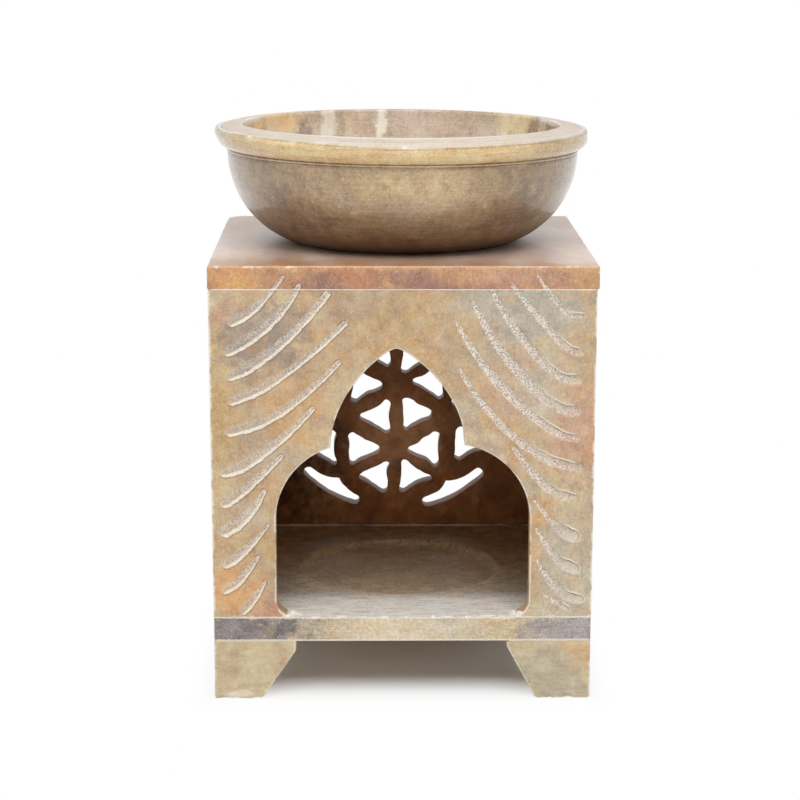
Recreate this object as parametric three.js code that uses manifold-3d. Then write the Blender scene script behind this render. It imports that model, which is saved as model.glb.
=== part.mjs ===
// Soapstone oil warmer: a square tealight house of glued stone slabs with a turned bowl on its roof.
// Millimetres, +Z up, the arched front faces -Y, and the origin is on the table under the centre.
import * as THREE from 'three';
import { mergeVertices } from 'three/addons/utils/BufferGeometryUtils.js';
import Module from 'manifold-3d';

// House of slabs
const BOX_WIDTH = 76;
const BOX_DEPTH = 76;
const WALL = 4.6;
const WALL_HEIGHT = 66.4;
const BASE_THICKNESS = 4.85;
const ROOF_THICKNESS = 4.5;
const ROOF_OVERHANG = 0.4;
const SLAB_CORNER = 1.0;

// Adhesive beds between the stones
const BOND = 0.3;
const BOND_SETBACK = 0.25;

// Corner feet: wide under the slab, an upright land, then a slant in to the toe
const FOOT_HEIGHT = 11.9;
const FOOT_HEAD = 16.8;
const FOOT_TOE = 10.3;
const FOOT_LAND = 1.6;

// Dished seat for a tealight in the base slab
const SEAT_FLOOR_RADIUS = 18.8;
const SEAT_RIM_RADIUS = 21.5;
const SEAT_DEPTH = 1.5;

// Hole in the roof that lets the flame reach the bowl
const HEAT_HOLE_RADIUS = 14;

// Trefoil doorway: heights are above the foot of the wall
const DOOR_HALF_WIDTH = 25.4;
const DOOR_TOE_RADIUS = 3.2;
const DOOR_TOE_BLUNT = THREE.MathUtils.degToRad(70);
const SHOULDER_RADIUS = 15.6;
const SHOULDER_SPRING = 19.9;
const CROWN_HALF_WIDTH = 13.3;
const CROWN_SHIFT = -1.1;
const CROWN_APEX = 54.8;
const CROWN_APEX_SHIFT = -1.4;
const CROWN_RISE = 11.2;
const CROWN_BLUNT = 2.0;

// Pierced medallion of the back wall: a hexagonal net of struts with its outer ring of crescents
const MEDALLION_HEIGHT = 32;
const MEDALLION_SHIFT = -0.7;
const MEDALLION_LEAN = THREE.MathUtils.degToRad(-1.2);
const NET_PITCH = 13.6;
const NET_RINGS = 2;
const PIERCING_REACH = 3.25;
const PIERCING_CORNER = 0.85;
const PIERCING_WAIST = THREE.MathUtils.degToRad(11);
const CRESCENT_RADIUS = 28.9;
const CRESCENT_POINT = 25.2;
const CRESCENT_SPREAD = THREE.MathUtils.degToRad(14);
const CRESCENT_TIP = 0.65;
const CRESCENT_BULGE = 26.6;
const CRESCENT_BULGE_SPREAD = THREE.MathUtils.degToRad(5);

// Turned bowl, measured from its flat foot
const BOWL_HEIGHT = 24.55;
const BOWL_RIM_RADIUS = 39;
const BOWL_RIM_BAND = 5.55;
const BOWL_LIP_DROP = 1.9;
const BOWL_LIP_ROLL = 0.7;
const BOWL_LIP_ROUND = 1.4;
const BOWL_BODY_RADIUS = 36.7;
const BOWL_FLANK_REACH = 18.7;
const BOWL_FOOT_CUT = 0.4;
const BOWL_GROOVE = 0.5;
const BOWL_MOUTH_RADIUS = 33.1;
const BOWL_MOUTH_REACH = 18.6;
const BOWL_FLOOR = 5.0;

const ARC_STEPS = 10;
const PROFILE_STEPS = 5;
const PIERCING_STEPS = 4;
const TURNING_STEPS = 56;
const SAME_POINT = 1e-4;

// Levels are kept on a binary grid, so that stacked stones meet exactly in 32-bit vertices.
const exact = (mm) => Math.round(mm * 1024) / 1024;

const footTop = exact(FOOT_HEIGHT);
const baseBottom = exact(footTop + BOND);
const baseTop = exact(baseBottom + BASE_THICKNESS);
const wallBottom = exact(baseTop + BOND);
const wallTop = exact(wallBottom + WALL_HEIGHT);
const roofBottom = exact(wallTop + BOND);
const roofTop = exact(roofBottom + ROOF_THICKNESS);
const halfWidth = exact(BOX_WIDTH / 2);
const halfDepth = exact(BOX_DEPTH / 2);
const innerHalfWidth = exact(halfWidth - WALL);
const innerHalfDepth = exact(halfDepth - WALL);
const sideHalfDepth = exact(innerHalfDepth - BOND);

const wasm = await Module();
wasm.setup();

function toSolid(geometry) {
  const bare = geometry.index ? geometry.toNonIndexed() : geometry.clone();
  bare.deleteAttribute('normal');
  bare.deleteAttribute('uv');
  const merged = mergeVertices(bare, SAME_POINT);
  return new wasm.Manifold(new wasm.Mesh({
    numProp: 3,
    vertProperties: new Float32Array(merged.attributes.position.array),
    triVerts: new Uint32Array(merged.index.array),
  }));
}

function toGeometry(solid) {
  const mesh = solid.getMesh();
  const geometry = new THREE.BufferGeometry();
  geometry.setAttribute('position', new THREE.BufferAttribute(mesh.vertProperties, 3));
  geometry.setIndex(new THREE.BufferAttribute(mesh.triVerts, 1));
  geometry.computeVertexNormals();
  return geometry;
}

function polar(radius, angle) {
  return new THREE.Vector2(radius * Math.cos(angle), radius * Math.sin(angle));
}

// A rectangle about the origin with its corners rounded in plan.
function roundedRectangle(halfX, halfY, radius) {
  const outline = new THREE.Shape();
  outline.absarc(halfX - radius, halfY - radius, radius, 0, Math.PI / 2);
  outline.absarc(radius - halfX, halfY - radius, radius, Math.PI / 2, Math.PI);
  outline.absarc(radius - halfX, radius - halfY, radius, Math.PI, 1.5 * Math.PI);
  outline.absarc(halfX - radius, radius - halfY, radius, 1.5 * Math.PI, 2 * Math.PI);
  outline.closePath();
  return outline;
}

function rectangle(x0, y0, x1, y1) {
  return new THREE.Shape([
    new THREE.Vector2(x0, y0),
    new THREE.Vector2(x1, y0),
    new THREE.Vector2(x1, y1),
    new THREE.Vector2(x0, y1),
  ]);
}

function extrude(outline, depth, curveSegments = ARC_STEPS) {
  return new THREE.ExtrudeGeometry(outline, { depth, bevelEnabled: false, curveSegments });
}

// A profile of (radius, height) points that starts and ends on the axis, turned about +Z.
function turn(profile) {
  const points = profile.getPoints(PROFILE_STEPS);
  const distinct = points.filter((p, i) => i === 0 || p.distanceTo(points[i - 1]) > SAME_POINT);
  return new THREE.LatheGeometry(distinct, TURNING_STEPS).rotateX(Math.PI / 2);
}

const stones = {
  bowl: { color: 0xa5917d, roughness: 0.42 },
  roof: { color: 0xcba077, roughness: 0.5 },
  front: { color: 0xcdaf82, roughness: 0.55 },
  wall: { color: 0xbfa27c, roughness: 0.55 },
  back: { color: 0x8a6a4a, roughness: 0.6 },
  base: { color: 0xa5958a, roughness: 0.5 },
  foot: { color: 0xcbb68a, roughness: 0.6 },
  bond: { color: 0xe8dcc0, roughness: 0.8 },
};

function piece(name, geometry, finish) {
  const material = new THREE.MeshStandardMaterial({ ...stones[finish], metalness: 0 });
  const mesh = new THREE.Mesh(geometry, material);
  mesh.name = name;
  return mesh;
}

// Foot: the same tapered outline seen from the front and from the side, with its outer corner at 0, 0.
function footGeometry() {
  const taper = new THREE.Shape([
    new THREE.Vector2(0, 0),
    new THREE.Vector2(0, footTop),
    new THREE.Vector2(-FOOT_HEAD, footTop),
    new THREE.Vector2(-FOOT_HEAD, footTop - FOOT_LAND),
    new THREE.Vector2(-FOOT_TOE, 0),
  ]);
  const fromFront = extrude(taper, FOOT_HEAD).rotateX(Math.PI / 2);
  const fromSide = fromFront.clone().rotateZ(Math.PI / 2).translate(-FOOT_HEAD, 0, 0);
  return toGeometry(toSolid(fromFront).intersect(toSolid(fromSide)));
}

// Base slab with the shallow dish that keeps a tealight in the middle.
function baseGeometry() {
  const thickness = baseTop - baseBottom;
  const slab = extrude(roundedRectangle(halfWidth, halfDepth, SLAB_CORNER), thickness);
  const dish = new THREE.Path();
  dish.moveTo(0, thickness - SEAT_DEPTH);
  dish.lineTo(SEAT_FLOOR_RADIUS, thickness - SEAT_DEPTH);
  dish.quadraticCurveTo(
    SEAT_RIM_RADIUS - (SEAT_RIM_RADIUS - SEAT_FLOOR_RADIUS) / 3, thickness - SEAT_DEPTH,
    SEAT_RIM_RADIUS, thickness,
  );
  dish.lineTo(SEAT_RIM_RADIUS, thickness + SEAT_DEPTH);
  dish.lineTo(0, thickness + SEAT_DEPTH);
  return toGeometry(toSolid(slab).subtract(toSolid(turn(dish))));
}

function roofGeometry() {
  const slab = roundedRectangle(halfWidth + ROOF_OVERHANG, halfDepth + ROOF_OVERHANG, SLAB_CORNER);
  const heatHole = new THREE.Path();
  heatHole.absarc(0, 0, HEAT_HOLE_RADIUS, 0, 2 * Math.PI);
  slab.holes.push(heatHole);
  return extrude(slab, roofTop - roofBottom, 2 * ARC_STEPS);
}

// Height of a shoulder arc above the wall's foot where the crown's side stands on it.
function cuspHeight(crownSide) {
  const fromCentre = Math.abs(crownSide) - (DOOR_HALF_WIDTH - SHOULDER_RADIUS);
  return SHOULDER_SPRING + Math.sqrt(SHOULDER_RADIUS ** 2 - fromCentre ** 2);
}

// Front wall in the x, z plane: a slab whose lower edge opens into the trefoil doorway.
function frontOutline() {
  const height = wallTop - wallBottom;
  const centre = DOOR_HALF_WIDTH - SHOULDER_RADIUS;
  const leftCrown = CROWN_SHIFT - CROWN_HALF_WIDTH;
  const rightCrown = CROWN_SHIFT + CROWN_HALF_WIDTH;
  const leftAngle = Math.acos((leftCrown + centre) / SHOULDER_RADIUS);
  const rightAngle = Math.acos((rightCrown - centre) / SHOULDER_RADIUS);
  const toe = DOOR_HALF_WIDTH - DOOR_TOE_RADIUS;
  const bluntToe = toe + DOOR_TOE_RADIUS * Math.cos(DOOR_TOE_BLUNT);
  const outline = new THREE.Shape();
  outline.moveTo(-halfWidth, 0);
  outline.lineTo(-bluntToe, 0);
  outline.absarc(-toe, DOOR_TOE_RADIUS, DOOR_TOE_RADIUS, Math.PI + DOOR_TOE_BLUNT, Math.PI, true);
  outline.absarc(-centre, SHOULDER_SPRING, SHOULDER_RADIUS, Math.PI, leftAngle, true);
  outline.bezierCurveTo(
    leftCrown, cuspHeight(leftCrown) + CROWN_RISE,
    CROWN_APEX_SHIFT - CROWN_BLUNT, CROWN_APEX,
    CROWN_APEX_SHIFT, CROWN_APEX,
  );
  outline.bezierCurveTo(
    CROWN_APEX_SHIFT + CROWN_BLUNT, CROWN_APEX,
    rightCrown, cuspHeight(rightCrown) + CROWN_RISE,
    rightCrown, cuspHeight(rightCrown),
  );
  outline.absarc(centre, SHOULDER_SPRING, SHOULDER_RADIUS, rightAngle, 0, true);
  outline.absarc(toe, DOOR_TOE_RADIUS, DOOR_TOE_RADIUS, 0, -DOOR_TOE_BLUNT, true);
  outline.lineTo(bluntToe, 0);
  outline.lineTo(halfWidth, 0);
  outline.lineTo(halfWidth, height);
  outline.lineTo(-halfWidth, height);
  outline.closePath();
  return { outline, bluntToe };
}

// One piercing of the net: round corners joined by sides that are drawn in at the waist.
function piercing(centre, heading) {
  const hole = new THREE.Path();
  const third = (2 * Math.PI) / 3;
  const halfTurn = Math.PI / 3 + PIERCING_WAIST;
  const run = PIERCING_REACH * Math.sin(Math.PI / 3) - PIERCING_CORNER * Math.sin(PIERCING_WAIST);
  const waist = PIERCING_REACH / 2 + PIERCING_CORNER * Math.cos(PIERCING_WAIST)
    - run * Math.tan(PIERCING_WAIST);
  for (let corner = 0; corner < 3; corner += 1) {
    const angle = heading + corner * third;
    const round = polar(PIERCING_REACH, angle).add(centre);
    hole.absarc(round.x, round.y, PIERCING_CORNER, angle - halfTurn, angle + halfTurn);
    const next = angle + third;
    const bend = polar(waist, angle + third / 2).add(centre);
    const end = polar(PIERCING_REACH, next).add(centre).add(polar(PIERCING_CORNER, next - halfTurn));
    hole.quadraticCurveTo(bend.x, bend.y, end.x, end.y);
  }
  return hole;
}

// One crescent: the round edge of the medallion outside, blunt tips, two petals that meet in a point inside.
function crescent(centre, heading) {
  const hole = new THREE.Path();
  const first = heading - CRESCENT_SPREAD;
  const last = heading + CRESCENT_SPREAD;
  const firstTip = polar(CRESCENT_RADIUS - CRESCENT_TIP, first).add(centre);
  const lastTip = polar(CRESCENT_RADIUS - CRESCENT_TIP, last).add(centre);
  const firstEnd = polar(CRESCENT_RADIUS - 2 * CRESCENT_TIP, first).add(centre);
  const point = polar(CRESCENT_POINT, heading).add(centre);
  const far = polar(CRESCENT_BULGE, heading + CRESCENT_BULGE_SPREAD).add(centre);
  const near = polar(CRESCENT_BULGE, heading - CRESCENT_BULGE_SPREAD).add(centre);
  hole.absarc(centre.x, centre.y, CRESCENT_RADIUS, first, last);
  hole.absarc(lastTip.x, lastTip.y, CRESCENT_TIP, last, last + Math.PI);
  hole.quadraticCurveTo(far.x, far.y, point.x, point.y);
  hole.quadraticCurveTo(near.x, near.y, firstEnd.x, firstEnd.y);
  hole.absarc(firstTip.x, firstTip.y, CRESCENT_TIP, first + Math.PI, first + 2 * Math.PI);
  return hole;
}

// Back wall in the x, z plane: a plain slab pierced by the medallion.
function backOutline() {
  const outline = rectangle(-halfWidth, 0, halfWidth, wallTop - wallBottom);
  const centre = new THREE.Vector2(MEDALLION_SHIFT, MEDALLION_HEIGHT);
  const across = polar(NET_PITCH, Math.PI / 6 + MEDALLION_LEAN);
  const upward = polar(NET_PITCH, Math.PI / 2 + MEDALLION_LEAN);
  const knot = (i, j) => across.clone().multiplyScalar(i).addScaledVector(upward, j);
  const inNet = (p) => p.length() < NET_PITCH * (NET_RINGS + 0.01);
  for (let i = -NET_RINGS; i <= NET_RINGS; i += 1) {
    for (let j = -NET_RINGS; j <= NET_RINGS; j += 1) {
      const right = [knot(i, j), knot(i + 1, j), knot(i, j + 1)];
      const left = [knot(i + 1, j), knot(i + 1, j - 1), knot(i, j)];
      for (const corners of [right, left]) {
        if (!corners.every(inNet)) continue;
        const middle = corners[0].clone().add(corners[1]).add(corners[2]).divideScalar(3);
        const heading = corners[0].clone().sub(middle).angle();
        outline.holes.push(piercing(middle.add(centre), heading));
      }
    }
  }
  for (let side = 0; side < 6; side += 1) {
    outline.holes.push(crescent(centre, (side * Math.PI) / 3 + MEDALLION_LEAN));
  }
  return outline;
}

// Bowl profile: flat foot, swelling flank, a groove, the rolled rim, then the hollow down to its floor.
function bowlProfile() {
  const rimBottom = BOWL_HEIGHT - BOWL_RIM_BAND;
  const flankHeight = rimBottom + BOWL_FOOT_CUT;
  const flankCentre = BOWL_BODY_RADIUS - BOWL_FLANK_REACH;
  const footAngle = -Math.asin(rimBottom / flankHeight);
  const grooveAngle = -Math.asin(BOWL_GROOVE / flankHeight);
  const lipTop = BOWL_HEIGHT - BOWL_LIP_ROLL;
  const lipMiddle = (BOWL_RIM_RADIUS + BOWL_MOUTH_RADIUS) / 2;
  const hollow = BOWL_MOUTH_RADIUS - BOWL_MOUTH_REACH;
  const profile = new THREE.Path();
  profile.moveTo(0, 0);
  profile.lineTo(flankCentre + BOWL_FLANK_REACH * Math.cos(footAngle), 0);
  profile.absellipse(
    flankCentre, rimBottom, BOWL_FLANK_REACH, flankHeight, footAngle, 2 * grooveAngle, false,
  );
  profile.lineTo(BOWL_BODY_RADIUS - BOWL_GROOVE, rimBottom - BOWL_GROOVE);
  profile.lineTo(BOWL_BODY_RADIUS, rimBottom);
  profile.quadraticCurveTo(
    BOWL_RIM_RADIUS, rimBottom + BOWL_GROOVE, BOWL_RIM_RADIUS, BOWL_HEIGHT - BOWL_LIP_DROP,
  );
  profile.quadraticCurveTo(BOWL_RIM_RADIUS, lipTop, BOWL_RIM_RADIUS - BOWL_LIP_ROUND, lipTop);
  profile.quadraticCurveTo(lipMiddle, BOWL_HEIGHT, BOWL_MOUTH_RADIUS, BOWL_HEIGHT);
  profile.absellipse(
    hollow, BOWL_HEIGHT, BOWL_MOUTH_REACH, BOWL_HEIGHT - BOWL_FLOOR, 0, -Math.PI / 2, true,
  );
  profile.lineTo(0, BOWL_FLOOR);
  return profile;
}

// Bed along the whole top edge of the four walls.
function roofBedOutline() {
  const outline = rectangle(
    BOND_SETBACK - halfWidth, BOND_SETBACK - halfDepth,
    halfWidth - BOND_SETBACK, halfDepth - BOND_SETBACK,
  );
  const inside = rectangle(
    -innerHalfWidth - BOND_SETBACK, -innerHalfDepth - BOND_SETBACK,
    innerHalfWidth + BOND_SETBACK, innerHalfDepth + BOND_SETBACK,
  );
  outline.holes.push(new THREE.Path(inside.getPoints().reverse()));
  return outline;
}

// Bed under the walls: the same ring, left open across the doorway.
function baseBedOutline(doorway) {
  const outX = halfWidth - BOND_SETBACK;
  const outY = halfDepth - BOND_SETBACK;
  const inX = innerHalfWidth + BOND_SETBACK;
  const inY = innerHalfDepth + BOND_SETBACK;
  const gap = doorway + BOND_SETBACK;
  return new THREE.Shape([
    new THREE.Vector2(gap, -outY),
    new THREE.Vector2(outX, -outY),
    new THREE.Vector2(outX, outY),
    new THREE.Vector2(-outX, outY),
    new THREE.Vector2(-outX, -outY),
    new THREE.Vector2(-gap, -outY),
    new THREE.Vector2(-gap, -inY),
    new THREE.Vector2(-inX, -inY),
    new THREE.Vector2(-inX, inY),
    new THREE.Vector2(inX, inY),
    new THREE.Vector2(inX, -inY),
    new THREE.Vector2(gap, -inY),
  ]);
}

const house = new THREE.Group();
house.name = 'soapstone_oil_warmer';

function addPiece(name, geometry, finish, x, y, z) {
  const mesh = piece(name, geometry, finish);
  mesh.position.set(x, y, z);
  house.add(mesh);
  return mesh;
}

const footShape = footGeometry();
const padShape = extrude(rectangle(BOND_SETBACK - FOOT_HEAD, BOND_SETBACK - FOOT_HEAD,
  -BOND_SETBACK, -BOND_SETBACK), baseBottom - footTop);
const corners = [
  ['back_right', halfWidth, halfDepth],
  ['back_left', -halfWidth, halfDepth],
  ['front_left', -halfWidth, -halfDepth],
  ['front_right', halfWidth, -halfDepth],
];
corners.forEach(([place, x, y], quarter) => {
  const turned = (quarter * Math.PI) / 2;
  addPiece(`${place}_foot`, footShape, 'foot', x, y, 0).rotation.z = turned;
  addPiece(`${place}_foot_bond`, padShape, 'bond', x, y, footTop).rotation.z = turned;
});

addPiece('base_slab', baseGeometry(), 'base', 0, 0, baseBottom);

const front = frontOutline();
const upright = Math.PI / 2;
addPiece('base_bond', extrude(baseBedOutline(front.bluntToe), wallBottom - baseTop), 'bond', 0, 0, baseTop);
addPiece('front_wall', extrude(front.outline, halfDepth - innerHalfDepth, 2 * ARC_STEPS), 'front',
  0, -innerHalfDepth, wallBottom).rotation.x = upright;
addPiece('back_wall', extrude(backOutline(), halfDepth - innerHalfDepth, PIERCING_STEPS), 'back',
  0, halfDepth, wallBottom).rotation.x = upright;

const sideShape = extrude(rectangle(0, -sideHalfDepth, halfWidth - innerHalfWidth, sideHalfDepth),
  wallTop - wallBottom);
const seamShape = extrude(rectangle(BOND_SETBACK, 0, halfWidth - innerHalfWidth - BOND_SETBACK,
  innerHalfDepth - sideHalfDepth), wallTop - wallBottom);
addPiece('left_wall', sideShape, 'wall', -halfWidth, 0, wallBottom);
addPiece('right_wall', sideShape, 'wall', innerHalfWidth, 0, wallBottom);
for (const [side, x] of [['left', -halfWidth], ['right', innerHalfWidth]]) {
  addPiece(`front_${side}_seam_bond`, seamShape, 'bond', x, -innerHalfDepth, wallBottom);
  addPiece(`back_${side}_seam_bond`, seamShape, 'bond', x, sideHalfDepth, wallBottom);
}

addPiece('roof_bond', extrude(roofBedOutline(), roofBottom - wallTop), 'bond', 0, 0, wallTop);
addPiece('roof_slab', roofGeometry(), 'roof', 0, 0, roofBottom);
addPiece('oil_bowl', turn(bowlProfile()), 'bowl', 0, 0, roofTop);

export default house;
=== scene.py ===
# %% [markdown]
# # A soapstone oil warmer
# A tealight stands inside a small house of glued stone slabs and warms a turned bowl on the roof.
# The packed model fixes where every stone sits, so the lesson starts by loading it as a frame.
# Each piece below is then worked out from the box of the solid that it stands for.

import bmesh
import bpy
import numpy as np
from mathutils import Matrix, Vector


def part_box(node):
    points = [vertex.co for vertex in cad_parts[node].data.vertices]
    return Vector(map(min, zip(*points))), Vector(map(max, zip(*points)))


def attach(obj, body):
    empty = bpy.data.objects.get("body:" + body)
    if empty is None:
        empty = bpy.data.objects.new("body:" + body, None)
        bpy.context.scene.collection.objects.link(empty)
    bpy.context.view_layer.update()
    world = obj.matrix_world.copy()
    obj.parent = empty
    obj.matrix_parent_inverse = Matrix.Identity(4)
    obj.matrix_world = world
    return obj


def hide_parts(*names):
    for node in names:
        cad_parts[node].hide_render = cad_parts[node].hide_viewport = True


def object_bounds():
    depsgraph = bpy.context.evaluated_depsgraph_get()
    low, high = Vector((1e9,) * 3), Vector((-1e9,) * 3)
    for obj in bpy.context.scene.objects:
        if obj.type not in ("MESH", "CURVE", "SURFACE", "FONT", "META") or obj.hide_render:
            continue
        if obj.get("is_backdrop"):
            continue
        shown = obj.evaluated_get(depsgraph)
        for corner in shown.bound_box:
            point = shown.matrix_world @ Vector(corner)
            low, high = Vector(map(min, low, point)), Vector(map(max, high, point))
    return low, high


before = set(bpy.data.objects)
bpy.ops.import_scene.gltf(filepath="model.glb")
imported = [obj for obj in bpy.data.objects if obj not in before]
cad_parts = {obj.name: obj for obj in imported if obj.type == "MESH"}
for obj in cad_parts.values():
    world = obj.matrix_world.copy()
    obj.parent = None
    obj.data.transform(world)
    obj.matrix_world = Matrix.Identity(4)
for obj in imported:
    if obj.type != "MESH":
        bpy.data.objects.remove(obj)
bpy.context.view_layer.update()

MM = 0.001


def box_mm(node):
    """Lowest and highest corner of a solid, in millimetres, as a mason would measure it."""
    low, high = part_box(node)
    return np.array(low) / MM, np.array(high) / MM


# %% [markdown]
# ## Uneven stone
# Hand-sawn stone is never quite straight, and its edges chip. A noise that can be asked for any array of
# points gives all of that unevenness. It is worked out from the points themselves, not drawn at random,
# so the same stone comes out on every run.

# %% Noise on whole arrays
MIXING = np.array([127.1, 311.7, 74.7])
SEED_STEP = 17.3
FOLDING = 43758.5
OCTAVES = 3


def hashed(cells, seed):
    """A steady share from 0 to 1 for each whole-number cell: a mixed sum folded through a sine."""
    mixed = cells @ MIXING + SEED_STEP * seed
    return np.modf(np.abs(np.sin(mixed)) * FOLDING)[0]


def noise(points, size, seed):
    """Shares at the corners of cells of one size, blended smoothly across each cell, from -1 to 1."""
    scaled = points / size
    cell = np.floor(scaled)
    part = scaled - cell
    part = part * part * (3 - 2 * part)
    total = np.zeros(len(points))
    for corner in np.ndindex(2, 2, 2):
        weight = np.prod(np.where(corner, part, 1 - part), axis=1)
        total += weight * hashed(cell + corner, seed)
    return 2 * total - 1


def ragged(points, size, seed):
    """Noise at three sizes, each half as large and half as strong as the one before."""
    strengths = [0.5**step for step in range(OCTAVES)]
    octaves = [noise(points, size * half, seed + step) * half for step, half in enumerate(strengths)]
    return sum(octaves) / sum(strengths)


probe = ragged(np.linspace((0, 0, 0), (90, 0, 0), 400), 4.0, 1)
print("ragged noise runs from", probe.min().round(2), "to", probe.max().round(2))

# %% Rises, falls and broken covers
def ramp(value, start, stop):
    """A straight run from 0 at the start to 1 at the stop, level beyond both."""
    return np.clip((value - start) / (stop - start), 0, 1)


def fade(gap, reach):
    """1 where there is no gap, and about a third left at the reach."""
    return np.exp(-gap / reach)


def bell(gap, reach, power=2):
    """1 where there is no gap, falling off on both sides; a higher power is flatter on top."""
    return np.exp(-((gap / reach) ** power))


def broken(points, size, seed, level, swing=1):
    """A broken cover from 0 to 1: ragged noise about a level, cut off at both ends."""
    return np.clip(level + swing * ragged(points, size, seed), 0, 1)


print("left at the reach", fade(1, 1).round(2))

# %% [markdown]
# ## Loops, rings and skins
# A slab, a foot and a bowl are all stacks of closed loops, and a bead of glue is a section carried along a
# path. Both are grids of points with rows and columns, so one function can skin them all. A modelled box
# with a bevel would be quicker, but it gives no rows to carve, chip or wear.

# %% Lines and arcs
def evenly(points, count, closed=False):
    """The polyline walked again in equal steps: each coordinate is read off against the length so far."""
    if closed:
        points = np.vstack([points, points[:1]])
    steps = np.linalg.norm(np.diff(points, axis=0), axis=1)
    length = np.concatenate([[0], np.cumsum(steps)])
    at = np.linspace(0, length[-1], count, endpoint=not closed)
    return np.stack([np.interp(at, length, axis) for axis in points.T], axis=1)


def arc(centre, radius, start, stop, steps=24):
    """Points on a circle from one angle to another, in degrees."""
    turn = np.radians(np.linspace(start, stop, steps))
    return np.array(centre) + radius * np.stack([np.cos(turn), np.sin(turn)], axis=1)


def curve(handles, steps=40):
    """A Bezier curve: neighbouring handles are blended again and again until one curve is left."""
    share = np.linspace(0, 1, steps)[:, None]
    points = [np.array(handle, float) for handle in handles]
    while len(points) > 1:
        points = [a * (1 - share) + b * share for a, b in zip(points, points[1:])]
    return points[0]


def quarter(radius, steps=4):
    """A quarter round in equal turns, as two arrays: how far in from the edge, and how far from the face."""
    turn = np.linspace(0, np.pi / 2, steps)
    return radius * (1 - np.sin(turn)), radius * (1 - np.cos(turn))


print("a quarter turn is walked in", len(arc((0, 0), 1, 0, 90)), "points")

# %% Loops and rings
def square_loop(half_x, half_y, corner, count):
    """A rectangle with quarter-round corners, walked anticlockwise from the middle of its +X side."""
    x, y = half_x - corner, half_y - corner
    centres = [(x, y), (-x, y), (-x, -y), (x, -y)]
    rounds = [arc(centre, corner, 90 * k, 90 * k + 90, 8) for k, centre in enumerate(centres)]
    return evenly(np.vstack([[(half_x, 0)], *rounds]), count, closed=True)


def circle_loop(radius, count):
    """A circle in equal steps, from +X anticlockwise."""
    return arc((0, 0), radius, 0, 360, count + 1)[:-1]


def rings(loops, levels):
    """Loops in plan, each lifted to its own level."""
    height = np.broadcast_to(np.reshape(levels, (-1, 1, 1)), (len(loops), loops[0].shape[0], 1))
    return np.concatenate([np.array(loops), height], axis=2)


def spread(start, stop, shares, level):
    """Loops that pass from one loop to another by the given shares, all on one level."""
    steps = np.reshape(shares, (-1, 1, 1))
    return rings(start + (stop - start) * steps, np.full(len(shares), level))


def towards(path, other):
    """Unit steps from each point of a path to the matching point of another."""
    step = other - path
    return step / np.linalg.norm(step, axis=1)[:, None]


def as_points(spots):
    """Spots in a plane as points in space, for the noise."""
    return np.column_stack([spots, np.zeros(len(spots))])


print("a 76 mm square walked in", len(square_loop(38, 38, 1, 480)), "steps")

# %% Faces of a grid
def quads(rows, columns, closed_rows, closed_columns):
    """Four-cornered faces between neighbouring rows and columns, carried round where the grid closes."""
    index = np.arange(rows * columns).reshape(rows, columns)
    if closed_columns:
        index = np.hstack([index, index[:, :1]])
    if closed_rows:
        index = np.vstack([index, index[:1]])
    corners = [index[:-1, :-1], index[:-1, 1:], index[1:, 1:], index[1:, :-1]]
    return np.stack(corners, axis=-1).reshape(-1, 4)


print("two rings of eight points give", len(quads(2, 8, False, True)), "faces")

# %% From grids to one closed mesh
SAME_POINT = 2e-6
CREASE = np.radians(50)


def skin(name, grids, dress):
    """One mesh from several grids: their points are dressed together, written with the attributes that the
    dressing returns, and joined where they meet. Open ends are capped and the faces turned outwards."""
    points, faces, first = [], [], 0
    for grid, closed_rows, closed_columns in grids:
        points.append(grid.reshape(-1, 3))
        faces.append(first + quads(*grid.shape[:2], closed_rows, closed_columns))
        first += len(points[-1])
    points, attributes = dress(np.concatenate(points))
    faces = np.concatenate(faces)
    mesh = bpy.data.meshes.new(name)
    mesh.vertices.add(len(points))
    mesh.vertices.foreach_set("co", (points * MM).ravel())
    mesh.loops.add(faces.size)
    mesh.loops.foreach_set("vertex_index", faces.ravel().astype(np.int32))
    mesh.polygons.add(len(faces))
    mesh.polygons.foreach_set("loop_start", np.arange(0, faces.size, 4, dtype=np.int32))
    for key, values in attributes.items():
        layer = mesh.attributes.new(key, "FLOAT", "POINT")
        layer.data.foreach_set("value", values.astype(np.float32))
    mesh.update()
    shell = bmesh.new()
    shell.from_mesh(mesh)
    bmesh.ops.remove_doubles(shell, verts=shell.verts, dist=SAME_POINT)
    bmesh.ops.holes_fill(shell, edges=[edge for edge in shell.edges if edge.is_boundary])
    bmesh.ops.recalc_face_normals(shell, faces=shell.faces)
    shell.to_mesh(mesh)
    shell.free()
    mesh.polygons.foreach_set("use_smooth", np.ones(len(mesh.polygons), dtype=bool))
    mesh.set_sharp_from_angle(angle=CREASE)
    piece = bpy.data.objects.new(name, mesh)
    bpy.context.scene.collection.objects.link(piece)
    triangles = len(mesh.loops) - 2 * len(mesh.polygons)
    print(name, "has", len(mesh.vertices), "points and", triangles, "triangles")
    return piece


# %% [markdown]
# ## Worn edges
# Soapstone is soft, so every sawn edge is a little rounded and nicked, and the bruised stone there is
# pale. How near a point lies to an edge of a box-shaped stone follows from its distances to the faces:
# the smallest is its own face, the second smallest tells the way to the edge.

# %% Chips and wear on a box-shaped stone
WEAR_REACH = 0.4
CHIP_SIZE = 2.4
CHIP_LEVEL = -0.3
NICK_SIZE = 1.3
GLUED_LOW = 1.0
GLUED_HIGH = 3.0


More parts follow.
